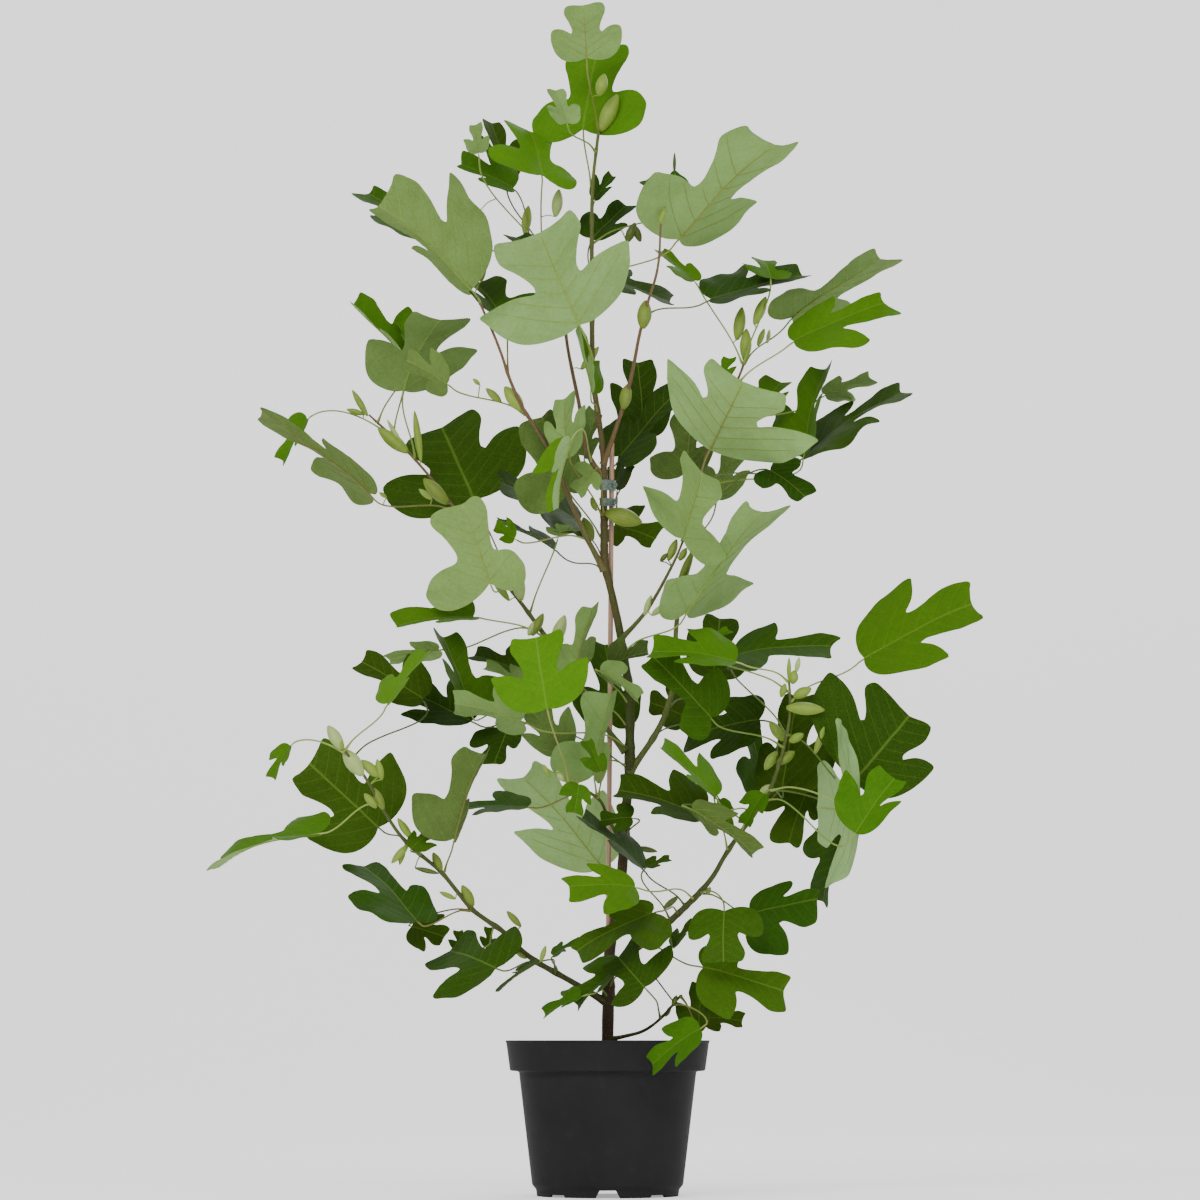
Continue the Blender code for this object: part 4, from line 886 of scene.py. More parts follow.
def make_leaf(number, leaf, tone, roundness, stems, shift, lift):
    """One leaf: stalk, blade with both faces, and the raised midrib and side ribs underneath."""
    shape = random.Random(1000 + number)
    fold, curl = leaf[8:10]
    frame_ = solve_blade(leaf[:5] + (leaf[5] + shift / MM,))
    surface = Surface(frame_, fold, curl, shape)
    outline = leaf_outline(shape, roundness, *lobe_marks(leaf))
    flat, triangles, rim = leaf_net(outline)
    built = Shape()
    top = [surface.at(s.x, s.y) for s in flat]
    under = []
    for spot, point in zip(flat, top):
        under.append(point - surface.normal(spot.x, spot.y) * LEAF_THICKNESS)
    marks = [(s.x, s.y, 1.0) for s in flat]
    count = len(flat)
    built.add(top, triangles, 0, marks)
    built.add(under, [(a, c, b) for a, b, c in triangles], 1, marks)
    for i in range(rim):
        j = (i + 1) % rim
        built.faces.append((i, count + i, count + j, j))
        built.slots.append(0)

    route, radii = petiole(stems, leaf, frame_, lift)
    rib = []
    for i in range(1, MIDRIB_PIECES + 1):
        q = MIDRIB_END * i / MIDRIB_PIECES
        rib.append(surface.at(0.0, q) - surface.normal(0.0, q) * (LEAF_THICKNESS + MIDRIB_RADIUS * 0.3))
    scale = min(1.0, frame_[1] / 0.11)
    shares = [(i + 1) / MIDRIB_PIECES for i in range(MIDRIB_PIECES)]
    rib_radii = [MIDRIB_RADIUS * scale * (1 - 0.8 * share) for share in shares]
    route, radii = route[:-1], radii[:-1]
    built.add(*tube_parts(route + rib, radii + rib_radii, 7, 2))
    rim_points = np.array([(p.x, p.y) for p in outline])
    for number_up in range(VEINS_A_SIDE):
        for side in (-1, 1):
            line, thin = side_rib(surface, rim_points, number_up, side, scale)
            if len(line) > 3:
                built.add(*tube_parts(line, thin, 4, 3))
    random_part = shape.random()
    piece = built.make(f"tulip_leaf_{number:03d}", LEAF_MATERIALS, (tone, random_part, shape.random()))
    return piece, route


def tube_parts(route, radii, sides, slot):
    vertices, faces, spots = tube(route, radii, sides)
    return vertices, faces, slot, spots


def side_rib(surface, rim_points, number_up, side, scale):
    """A side vein from the midrib towards the edge, as (points, radii)."""
    spots = []
    for i in range(SIDE_RIB_MARKS):
        p = SIDE_RIB_STEP * i
        q = VEIN_START + VEIN_SPACING * number_up + VEIN_SLOPE * p + VEIN_BEND * p * p
        spots.append((side * p, q))
    within = inside(np.array(spots) * (1.06, 1.0) + (0.0, 0.012), rim_points)
    length = 1
    while length < len(spots) and within[length]:
        length += 1
    spots = spots[:length]
    line = []
    for p, q in spots[::2]:
        line.append(surface.at(p, q) - surface.normal(p, q) * (LEAF_THICKNESS + SIDE_RIB_RADIUS * 0.2))
    last = max(1, len(line) - 1)
    return line, [SIDE_RIB_RADIUS * scale * (1 - 0.7 * i / last) for i in range(len(line))]


# ---------------------------------------------------------------- materials


class Nodes:
    """Short calls for building one material's nodes."""

    def __init__(self, name, roughness, specular):
        self.material = bpy.data.materials.new(name)
        self.material.use_nodes = True
        self.tree = self.material.node_tree
        self.shader = self.tree.nodes["Principled BSDF"]
        self.shader.inputs["Roughness"].default_value = roughness
        self.shader.inputs["Specular IOR Level"].default_value = specular

    def new(self, kind, **inputs):
        node = self.tree.nodes.new(kind)
        for name, value in inputs.items():
            self.put(node.inputs[name.replace("_", " ")], value)
        return node

    def put(self, socket, value):
        if isinstance(value, bpy.types.NodeSocket):
            self.tree.links.new(value, socket)
        else:
            socket.default_value = value

    def math(self, operation, a, b=0.0, c=0.0):
        node = self.tree.nodes.new("ShaderNodeMath")
        node.operation = operation
        for socket, value in zip(node.inputs, (a, b, c)):
            self.put(socket, value)
        return node.outputs[0]

    def ramp(self, value, stops):
        node = self.tree.nodes.new("ShaderNodeValToRGB")
        self.put(node.inputs[0], value)
        elements = node.color_ramp.elements
        while len(elements) < len(stops):
            elements.new(0.5)
        for element, (position, colour) in zip(elements, stops):
            element.position = position
            element.color = (*colour, 1.0)
        return node.outputs[0]

    def mix(self, factor, a, b, blend="MIX"):
        node = self.tree.nodes.new("ShaderNodeMix")
        node.data_type = "RGBA"
        node.blend_type = blend
        self.put(node.inputs[0], factor)
        for socket, value in ((node.inputs[6], a), (node.inputs[7], b)):
            self.put(socket, value if isinstance(value, bpy.types.NodeSocket) else (*value, 1.0))
        return node.outputs[2]

    def grain(self, place, scale, detail=4.0, stretch=None):
        if stretch:
            mapping = self.new("ShaderNodeMapping", Vector=place, Scale=stretch)
            place = mapping.outputs[0]
        node = self.new("ShaderNodeTexNoise", Vector=place, Scale=scale, Detail=detail)
        return node.outputs["Fac"]

    def cells(self, place, scale, feature="F1"):
        node = self.new("ShaderNodeTexVoronoi", Vector=place, Scale=scale)
        node.feature = feature
        return node.outputs["Distance"]

    def place(self):
        return self.new("ShaderNodeTexCoord").outputs["Object"]

    def mark(self, name):
        """(x, y, z, vector) of a mark stored on the mesh."""
        node = self.tree.nodes.new("ShaderNodeAttribute")
        node.attribute_name = name
        split = self.new("ShaderNodeSeparateXYZ", Vector=node.outputs["Vector"])
        return split.outputs[0], split.outputs[1], split.outputs[2], node.outputs["Vector"]

    def finish(self, colour, height=None, depth=0.0002, strength=0.5):
        self.put(self.shader.inputs["Base Color"], colour)
        if height is not None:
            bump = self.new("ShaderNodeBump", Strength=strength, Distance=depth, Height=height)
            self.put(self.shader.inputs["Normal"], bump.outputs[0])
        return self.material


def vein_lines(n, p, q, warp, width, midrib_width):
    """1 on the veins, falling to 0 beside them."""
    p = n.math("ADD", p, n.math("MULTIPLY", n.math("SUBTRACT", warp, 0.5), 0.02))
    reach = n.math("ABSOLUTE", p)
    bend = n.math("MULTIPLY", n.math("MULTIPLY", p, p), VEIN_BEND)
    run = n.math("SUBTRACT", n.math("SUBTRACT", q, VEIN_START), n.math("MULTIPLY", reach, VEIN_SLOPE))
    run = n.math("DIVIDE", n.math("SUBTRACT", run, bend), VEIN_SPACING)
    side = n.math("MULTIPLY", n.math("PINGPONG", run, 0.5), VEIN_SPACING)
    fade = n.math("SUBTRACT", 1.0, n.math("MULTIPLY", reach, 1.1))
    side = n.math("SUBTRACT", 1.0, n.math("DIVIDE", side, n.math("MULTIPLY", fade, width)))
    middle = n.math("SUBTRACT", 1.0, n.math("DIVIDE", reach, midrib_width))
    side = n.math("MAXIMUM", n.math("MULTIPLY", side, 0.42), 0.0)
    return n.math("MAXIMUM", side, middle)


def leaf_material(name, stops, vein_colour, roughness, vein_share, net_share, specular):
    """One face of the leaves. The tone mark runs from 0, a bright leaf, to 1, a dark one; the dark end is
    partly painted shade.
    """
    n = Nodes(name, roughness, specular)
    p, q, _, spot = n.mark("spot")
    tone, chance, yellow, _ = n.mark("tone")
    place = n.place()
    broad = n.grain(place, 38.0, 3.0)
    fine = n.grain(place, 260.0, 3.0)
    # The tone ramp: partly the leaf's own colour, partly painted shade at its dark end for leaves in shadow.
    colour = n.ramp(n.math("ADD", tone, n.math("MULTIPLY", n.math("SUBTRACT", broad, 0.5), 0.22)), stops)
    warm = n.math("MULTIPLY", yellow, 0.16)
    colour = n.mix(warm, colour, (0.12, 0.17, 0.015))
    shade = n.math("ADD", 0.80, n.math("MULTIPLY", chance, 0.22))
    shade = n.math("ADD", shade, n.math("MULTIPLY", n.math("SUBTRACT", fine, 0.5), 0.35))
    grey = n.new("ShaderNodeCombineColor", Red=shade, Green=shade, Blue=shade).outputs[0]
    colour = n.mix(1.0, colour, grey, "MULTIPLY")
    net = n.cells(spot, 34.0, "DISTANCE_TO_EDGE")
    net = n.math("SUBTRACT", 1.0, n.math("MINIMUM", n.math("MULTIPLY", net, 9.0), 1.0))
    colour = n.mix(n.math("MULTIPLY", net, net_share), colour, vein_colour)
    veins = vein_lines(n, p, q, broad, 0.009, 0.016)
    veins = n.math("MINIMUM", n.math("MAXIMUM", veins, 0.0), 1.0)
    colour = n.mix(n.math("MULTIPLY", veins, vein_share), colour, vein_colour)
    height = n.math("ADD", n.math("MULTIPLY", net, 0.35), n.math("MULTIPLY", veins, 1.0))
    height = n.math("ADD", height, n.math("MULTIPLY", fine, 0.5))
    n.finish(colour, height, 0.00025 if name == "leaf_under" else -0.00025, 0.6)
    return n.material


def stalk_material(name, dark):
    """Leaf stalks and ribs: yellow-green, darker on the darker leaves, partly as painted shade."""
    n = Nodes(name, 0.5, 0.15)
    tone, chance, _, _ = n.mark("tone")
    place = n.place()
    mottle = n.grain(place, 120.0)
    # Darker with the leaf's tone, which is partly painted shade.
    value = n.math("ADD", n.math("MULTIPLY", tone, dark), n.math("MULTIPLY", mottle, 0.25))
    stops = ((0.0, (0.28, 0.37, 0.09)), (0.45, (0.15, 0.22, 0.035)), (1.0, (0.04, 0.065, 0.010)))
    colour = n.ramp(value, stops)
    red = n.math("MULTIPLY", n.math("GREATER_THAN", chance, 0.72), 0.35)
    colour = n.mix(red, colour, (0.17, 0.08, 0.03))
    return n.finish(colour, mottle, 0.0002, 0.4)


# Each face's ramp runs from a lit leaf to a dark one; the darker stops are partly painted shade, and the
# under face is also paler.
LEAF_MATERIALS = (
    leaf_material("leaf_upper", ((0.0, (0.067, 0.182, 0.004)), (0.35, (0.040, 0.125, 0.004)),
                                 (0.7, (0.022, 0.068, 0.005)), (1.0, (0.014, 0.040, 0.004))),
                  (0.15, 0.24, 0.035), 0.5, 0.45, 0.08, 0.02),
    leaf_material("leaf_under", ((0.0, (0.275, 0.45, 0.175)), (0.35, (0.170, 0.290, 0.085)),
                                 (0.7, (0.078, 0.135, 0.030)), (1.0, (0.030, 0.056, 0.013))),
                  (0.26, 0.33, 0.08), 0.72, 0.5, 0.12, 0.04),
    stalk_material("stalk", 0.8),
    stalk_material("rib", 0.55),
)


def bark_material(name, stops, low, high, roughness=0.65):
    """Bark that changes colour up the plant, with long streaks and pale pores."""
    n = Nodes(name, roughness, 0.12)
    place = n.place()
    z = n.new("ShaderNodeSeparateXYZ", Vector=place).outputs[2]
    rise = n.math("DIVIDE", n.math("SUBTRACT", z, low), high - low)
    streak = n.grain(place, 420.0, 5.0, (1.0, 1.0, 0.16))
    blotch = n.grain(place, 55.0, 3.0)
    rise = n.math("ADD", rise, n.math("MULTIPLY", n.math("SUBTRACT", blotch, 0.5), 0.25))
    colour = n.ramp(rise, stops)
    colour = n.mix(n.math("MULTIPLY", n.math("SUBTRACT", streak, 0.35), 0.9), colour, (0.02, 0.014, 0.008))
    pores = n.cells(place, 330.0)
    pores = n.math("LESS_THAN", pores, 0.17)
    colour = n.mix(n.math("MULTIPLY", pores, 0.4), colour, (0.25, 0.20, 0.12))
    height = n.math("ADD", streak, n.math("MULTIPLY", pores, 0.8))
    return n.finish(colour, height, 0.0003, 0.6)


TRUNK_BARK = bark_material(
    "trunk_bark",
    ((0.0, (0.034, 0.020, 0.012)), (0.2, (0.043, 0.028, 0.012)), (0.33, (0.036, 0.056, 0.010)),
     (0.62, (0.075, 0.055, 0.020)), (1.0, (0.095, 0.125, 0.028))),
    0.15, 1.25,
)
BRANCH_BARK = bark_material(
    "branch_bark",
    ((0.0, (0.040, 0.036, 0.013)), (0.25, (0.062, 0.080, 0.017)), (0.5, (0.085, 0.110, 0.026)),
     (0.8, (0.12, 0.070, 0.034)), (1.0, (0.13, 0.085, 0.042))),
    0.18, 1.05, 0.5,
)


def cane_material():
    n = Nodes("cane_skin", 0.5, 0.2)
    place = n.place()
    fibres = n.grain(place, 900.0, 4.0, (1.0, 1.0, 0.03))
    patches = n.grain(place, 30.0, 3.0)
    _, along, _, _ = n.mark("spot")
    stops = ((0.25, (0.22, 0.115, 0.07)), (0.6, (0.38, 0.23, 0.155)), (0.8, (0.47, 0.32, 0.22)))
    colour = n.ramp(fibres, stops)
    colour = n.mix(n.math("MULTIPLY", patches, 0.35), colour, (0.28, 0.22, 0.13))
    ring = n.math("PINGPONG", n.math("SUBTRACT", along, CANE_FIRST_NODE), CANE_NODE_SPACING / 2)
    ring = n.math("LESS_THAN", ring, 0.0012)
    colour = n.mix(n.math("MULTIPLY", ring, 0.7), colour, (0.10, 0.06, 0.04))
    return n.finish(colour, fibres, 0.0003, 0.6)


def pot_material():
    n = Nodes("pot_plastic", 0.6, 0.05)
    place = n.place()
    grain = n.grain(place, 900.0, 3.0)
    cloud = n.grain(place, 14.0, 4.0)
    dust = n.grain(place, 60.0, 6.0)
    colour = n.ramp(cloud, ((0.3, (0.0115, 0.0115, 0.0120)), (0.7, (0.0155, 0.0155, 0.0160))))
    dust = n.math("MAXIMUM", n.math("SUBTRACT", dust, 0.56), 0.0)
    colour = n.mix(n.math("MULTIPLY", dust, 0.55), colour, (0.045, 0.042, 0.039))
    rough = n.math("ADD", 0.52, n.math("MULTIPLY", cloud, 0.16))
    n.put(n.shader.inputs["Roughness"], rough)
    return n.finish(colour, grain, 0.0002, 0.35)


def soil_material():
    n = Nodes("compost", 0.95, 0.2)
    place = n.place()
    crumbs = n.cells(place, 420.0)
    broad = n.grain(place, 60.0, 6.0)
    value = n.math("ADD", n.math("MULTIPLY", crumbs, 0.6), n.math("MULTIPLY", broad, 0.6))
    stops = ((0.2, (0.012, 0.007, 0.004)), (0.55, (0.045, 0.027, 0.015)), (0.9, (0.11, 0.072, 0.042)))
    colour = n.ramp(value, stops)
    return n.finish(colour, value, 0.002, 0.9)


def tie_material():
    n = Nodes("tie_film", 0.3, 0.6)
    place = n.place()
    folds = n.grain(place, 300.0, 3.0, (1.0, 1.0, 3.0))
    colour = n.ramp(folds, ((0.3, (0.035, 0.055, 0.045)), (0.7, (0.13, 0.19, 0.15))))
    return n.finish(colour, folds, 0.0006, 0.8)


# ---------------------------------------------------------------- pieces


def keep(piece, slot, *nodes):
    """The piece rides on the plant and stands for the nodes; the slot is not used."""
    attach(piece, "root")
    if nodes:
        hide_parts(*nodes)
    return piece


def make_stem_piece(name, feet, full_route, full_radii):
    """A stem with swollen nodes where the leaves leave it, a flared foot and a rounded tip."""
    route = smooth_route(full_route[::2] + ([full_route[-1]] if len(full_route) % 2 == 0 else []), 0.0035)
    shape = random.Random(name)
    phase = shape.uniform(0, 6.28)
    lengths = [0.0]
    for a, b in zip(route, route[1:]):
        lengths.append(lengths[-1] + (b - a).length)
    total = lengths[-1]
    radii = []
    for i, point in enumerate(route):
        t = lengths[i] / total
        radius = full_radii[0] + (full_radii[-1] - full_radii[0]) * t
        swell = 0.0
        for foot in feet:
            swell = max(swell, math.exp(-(((point - foot).length / 0.0055) ** 2)))
        flare = 0.0 if name == "trunk" else 0.75 * math.exp(-lengths[i] / 0.010)
        ripple = 0.012 * math.sin(lengths[i] * 210 + phase) + 0.02 * math.sin(lengths[i] * 87 + phase * 2)
        radii.append(radius * (1 + 0.22 * swell + flare + ripple))
    end = route[-1]
    heading = (route[-1] - route[-2]).normalized()
    for step in (0.35, 0.7, 0.95):
        route.append(end + heading * radii[len(lengths) - 1] * step)
        radii.append(radii[len(lengths) - 1] * math.sqrt(1 - step * step))
    built = Shape()
    built.add(*tube_parts(route, radii, 16, 0))
    piece = built.make(f"{name}_bark", [TRUNK_BARK if name == "trunk" else BRANCH_BARK])
    return keep(piece, "trunk" if name == "trunk" else "branch", name)


CANE_FIRST_NODE = 0.105
CANE_NODE_SPACING = 0.176
CANE_STEPS = 160


def make_cane():
    route = [CANE_FOOT.lerp(CANE_TOP, i / CANE_STEPS) for i in range(CANE_STEPS + 1)]
    length = (CANE_TOP - CANE_FOOT).length
    radii = []
    for i in range(CANE_STEPS + 1):
        along = length * i / CANE_STEPS
        past_node = (along - CANE_FIRST_NODE + CANE_NODE_SPACING / 2) % CANE_NODE_SPACING
        gap = abs(past_node - CANE_NODE_SPACING / 2)
        swell = 0.12 * math.exp(-((gap / 0.003) ** 2))
        radii.append(CANE_RADIUS * (0.97 + swell - 0.03 * math.sin(along * 40)))
    built = Shape()
    built.add(*tube_parts(route, radii, 20, 0))
    return keep(built.make("bamboo_cane", [cane_material()]), "cane", "cane")


def make_tie_piece(name, node, low, high, material, trunk):
    """A band of soft film drawn round the trunk and the cane, with a pinched middle and a knot behind."""
    route, radii = trunk
    height = (low + high) / 2
    at = min(range(len(route)), key=lambda i: abs(route[i].z - height))
    rounds = ((route[at], radii[at] + 0.0005), (cane_at(height), CANE_RADIUS + 0.0005))
    built = Shape()
    rows, sides = 9, 48
    vertices, faces, spots = [], [], []
    for layer, extra in enumerate((0.0011, 0.0001)):
        for row in range(rows):
            z = low + (high - low) * row / (rows - 1)
            pinch = 0.0006 * math.cos(2 * math.pi * row / (rows - 1)) - 0.0002
            for i in range(sides):
                turn = 2 * math.pi * i / sides
                out = Vector((math.cos(turn), math.sin(turn), 0))
                middle, radius = max(rounds, key=lambda r: r[0].dot(out) + r[1])
                fold = 0.0003 * math.sin(5 * turn + row)
                reach = radius + extra + (pinch + fold if layer == 0 else 0.0)
                slope = 0.0009 * math.sin(turn)
                vertices.append((middle.x + reach * out.x, middle.y + reach * out.y, z + slope))
                spots.append((turn, z, 0.0))
    for layer in (0, 1):
        base = layer * rows * sides
        for row in range(rows - 1):
            for i in range(sides):
                j = (i + 1) % sides
                face = (base + row * sides + i, base + row * sides + j,
                        base + (row + 1) * sides + j, base + (row + 1) * sides + i)
                faces.append(face if layer == 0 else face[::-1])
    inner = rows * sides
    for i in range(sides):
        j = (i + 1) % sides
        faces.append((i, inner + i, inner + j, j))
        top = (rows - 1) * sides
        faces.append((top + j, inner + top + j, inner + top + i, top + i))
    built.add(vertices, faces, 0, spots)
    knot_at = route[at].lerp(cane_at(height), 0.5) + Vector((0.0085, 0, 0))
    knot_at.z = height
    tail = [knot_at + Vector((0.002 * math.sin(2.2 * t), 0.001 * math.cos(3 * t), 0.0022 * math.sin(t)))
            for t in [i * 0.5 for i in range(13)]]
    built.add(*tube_parts(tail, [0.0008] * len(tail), 6, 0))
    return keep(built.make(name, [material]), "tie", node)


CORNER_STEPS = 4


def rounded(points, radius):
    """The (r, z) profile with each inner corner rounded."""
    done = [points[0]]
    for before, corner, after in zip(points, points[1:], points[2:]):
        corner, before, after = Vector(corner), Vector(before), Vector(after)
        cut_back = min(radius, (before - corner).length * 0.45, (after - corner).length * 0.45)
        a = corner + (before - corner).normalized() * cut_back
        b = corner + (after - corner).normalized() * cut_back
        for i in range(CORNER_STEPS + 1):
            t = i / CORNER_STEPS
            done.append(tuple(a * (1 - t) ** 2 + corner * 2 * t * (1 - t) + b * t * t))
    done.append(points[-1])
    return done


def spun(profile, steps):
    """A mesh from an open (r, z) profile whose ends are on the axis."""
    build = bmesh.new()
    last = None
    for i in range(steps):
        turn = 2 * math.pi * i / steps
        ring = [build.verts.new((r * math.cos(turn), r * math.sin(turn), z)) for r, z in profile[1:-1]]
        if last is None:
            first = ring
            low = build.verts.new((0, 0, profile[0][1]))
            high = build.verts.new((0, 0, profile[-1][1]))
        else:
            spin_faces(build, last, ring, low, high)
        last = ring
    spin_faces(build, last, first, low, high)
    bmesh.ops.recalc_face_normals(build, faces=build.faces)
    return build


def spin_faces(build, a, b, low, high):
    for i in range(len(a) - 1):
        build.faces.new((a[i], b[i], b[i + 1], a[i + 1]))
    build.faces.new((low, b[0], a[0]))
    build.faces.new((high, a[-1], b[-1]))


def mesh_object(name, build, materials, sharp):
    mesh = bpy.data.meshes.new(name)
    build.to_mesh(mesh)
    build.free()
    for material in materials:
        mesh.materials.append(material)
    mesh.shade_smooth()
    mesh.set_sharp_from_angle(angle=math.radians(sharp))
    obj = bpy.data.objects.new(name, mesh)
    bpy.context.scene.collection.objects.link(obj)
    return obj


LUMPS = 520


def make_soil_piece():
    """Compost heaped round the trunk, with crumbs, and loose lumps and bark chips on it."""
    steps, rings = 120, 34
    slope = (RIM_RADIUS - BAND_LOW_RADIUS) / (POT_HEIGHT - BAND_LOW)
    edge = BAND_LOW_RADIUS - WALL + slope * (SOIL_LEVEL - BAND_LOW) - 2 * GAP
    profile = [(0.0, SOIL_LEVEL)]
    profile += [(edge * (i + 1) / rings, SOIL_LEVEL) for i in range(rings)]
    profile += [(edge - 0.002, SOIL_LEVEL - 0.010), (0.0, SOIL_LEVEL - 0.010)]
    build = spun(profile, steps)
    for vertex in build.verts:
        if vertex.co.z < SOIL_LEVEL - 0.005:
            continue
        reach = math.hypot(vertex.co.x, vertex.co.y)
        rise = 0.003 * math.exp(-((reach / 0.035) ** 2)) - 0.001
        rise += 0.0016 * noise.fractal(vertex.co * 70, 0.7, 2.0, 4)
        rise += 0.0010 * noise.noise(vertex.co * 420)
        vertex.co.z += min(rise, 0.004) * min(1.0, (edge - reach) / 0.004 + 0.3)
    shape = random.Random(7)
    for _ in range(LUMPS):
        turn, reach = shape.uniform(0, 2 * math.pi), edge * 0.97 * math.sqrt(shape.random())
        size = shape.uniform(0.0008, 0.0026)
        made = bmesh.ops.create_icosphere(build, subdivisions=1, radius=size)
        flat = Matrix.Diagonal((shape.uniform(0.7, 1.7), shape.uniform(0.5, 1.2), shape.uniform(0.35, 0.8)))
        heading = Matrix.Rotation(shape.uniform(0, 6.28), 3, "Z")
        spin = heading @ Matrix.Rotation(shape.uniform(-0.5, 0.5), 3, "X")
        middle = Vector((reach * math.cos(turn), reach * math.sin(turn), SOIL_LEVEL + size * 0.2))
        middle.z += 0.002 * math.exp(-((reach / 0.035) ** 2))
        for vertex in made["verts"]:
            vertex.co = spin @ (flat @ vertex.co) * shape.uniform(0.9, 1.1) + middle
    piece = mesh_object("compost_top", build, [soil_material()], 60)
    return keep(piece, "soil", "soil")


HOLE_RADIUS = 0.006
HOLE_RING = 0.045


def make_pot_piece():
    """The pot with its rolled rim, band, body and notched foot, all edges softly rounded."""
    under = FOOT_HEIGHT - 0.001
    outline = (
        (0.0, under), (FOOT_RADIUS - FOOT_WALL - 0.001, under), (FOOT_RADIUS - FOOT_WALL, 0.0),
        (FOOT_RADIUS, 0.0), (FOOT_RADIUS + 0.0003, under - 0.001), (BODY_LOW_RADIUS, FOOT_HEIGHT + 0.003),
        (BODY_TOP_RADIUS, BAND_LOW - 0.001), (BAND_LOW_RADIUS, BAND_LOW),
        (RIM_RADIUS - 0.0008, POT_HEIGHT - 0.003), (RIM_RADIUS, POT_HEIGHT - 0.0022),
        (RIM_RADIUS, POT_HEIGHT), (RIM_RADIUS - WALL - 0.0006, POT_HEIGHT),
        (BAND_LOW_RADIUS - WALL, BAND_LOW + 0.002), (BODY_TOP_RADIUS - WALL, BAND_LOW + 0.001),
        (BODY_LOW_RADIUS - WALL, FOOT_HEIGHT + WALL), (0.0, FOOT_HEIGHT + WALL),
    )
    build = spun(rounded(outline, 0.0018), 192)
    piece = mesh_object("nursery_pot", build, [pot_material()], 40)
    for turns, half_low, half_high, height in (
        ([i * math.pi / 2 for i in range(4)], 0.018, 0.009, 0.0085),
        ([(i + 0.5) * math.pi / 2 for i in range(4)], 0.013, 0.011, 0.0028),
    ):
        cutter_mesh = bmesh.new()
        for turn in turns:
            made = bmesh.ops.create_cube(cutter_mesh, size=1.0)
            for vertex in made["verts"]:
                top = vertex.co.z > 0
                x = math.copysign(half_high if top else half_low, vertex.co.x)
                y = -FOOT_RADIUS + math.copysign(0.012, vertex.co.y)
                vertex.co = Matrix.Rotation(turn, 3, "Z") @ Vector((x, y, height if top else -height))
        cut_away(piece, cutter_mesh)
    holes = bmesh.new()
    for i in range(4):
        made = bmesh.ops.create_cone(holes, cap_ends=True, segments=32, depth=0.02,
                                     radius1=HOLE_RADIUS, radius2=HOLE_RADIUS)
        turn = i * math.pi / 2
        bmesh.ops.translate(holes, vec=(HOLE_RING * math.cos(turn), HOLE_RING * math.sin(turn), FOOT_HEIGHT),
                            verts=made["verts"])
    cut_away(piece, holes)
    piece.data.shade_smooth()
    piece.data.set_sharp_from_angle(angle=math.radians(40))
    return keep(piece, "pot", "pot")


def cut_away(piece, build):
    """Cuts the shape out of the piece and applies the cut."""
    mesh = bpy.data.meshes.new("cutter")
    build.to_mesh(mesh)
    build.free()
    cutter = bpy.data.objects.new("cutter", mesh)
    bpy.context.scene.collection.objects.link(cutter)
    modifier = piece.modifiers.new("cut", "BOOLEAN")
    modifier.operation = "DIFFERENCE"
    modifier.object = cutter
    bpy.context.view_layer.update()
    graph = bpy.context.evaluated_depsgraph_get()
    cut_mesh = bpy.data.meshes.new_from_object(piece.evaluated_get(graph))
    piece.modifiers.clear()
    piece.data = cut_mesh
    bpy.data.objects.remove(cutter)


def to_front(point):
    """Where the point shows on the front elevation, as (x, z) in metres."""
    scale = 1 + point.y / EYE_DISTANCE
    return Vector((point.x / scale, EYE_HEIGHT + (point.z - EYE_HEIGHT) / scale))


def stipule_parts(base, tip, width, out, built, cupped):
    """An oval scale from base to tip, cupped away from the stem."""
    along = tip - base
    length = along.length
    along.normalize()
    across = along.cross(out).normalized()
    out = across.cross(along).normalized()
    rows, columns = 11, 7
    vertices, faces, spots = [], [], []
    for face_side in (1, -1):
        for i in range(rows):
            t = i / (rows - 1)
            half = width / 2 * (math.sin(math.pi * min(1.0, t * 0.93 + 0.05)) ** 0.7)
            for j in range(columns):
                s = 2 * j / (columns - 1) - 1
                bulge = cupped * width * (math.sin(math.pi * t) * (1 - s * s) * 0.45 - 0.25 * t * t)
                middle = base + along * length * t + across * half * s
                vertices.append(middle + out * (bulge + face_side * 0.00035 * (1 - 0.6 * abs(s))))
                spots.append((s * 0.5, t, 1.0))
    for layer in (0, 1):
        start = layer * rows * columns
        for i in range(rows - 1):
            for j in range(columns - 1):
                a = start + i * columns + j
                face = (a, a + 1, a + columns + 1, a + columns)
                faces.append(face if layer == 0 else face[::-1])
    under = rows * columns
    edge = list(range(columns))
    edge += [i * columns + columns - 1 for i in range(1, rows)]
    edge += [(rows - 1) * columns + j for j in range(columns - 2, -1, -1)]
    edge += [i * columns for i in range(rows - 2, 0, -1)]
    for a, b in zip(edge, edge[1:] + edge[:1]):
        faces.append((b, a, under + a, under + b))
    built.add(vertices, faces, 0, spots)


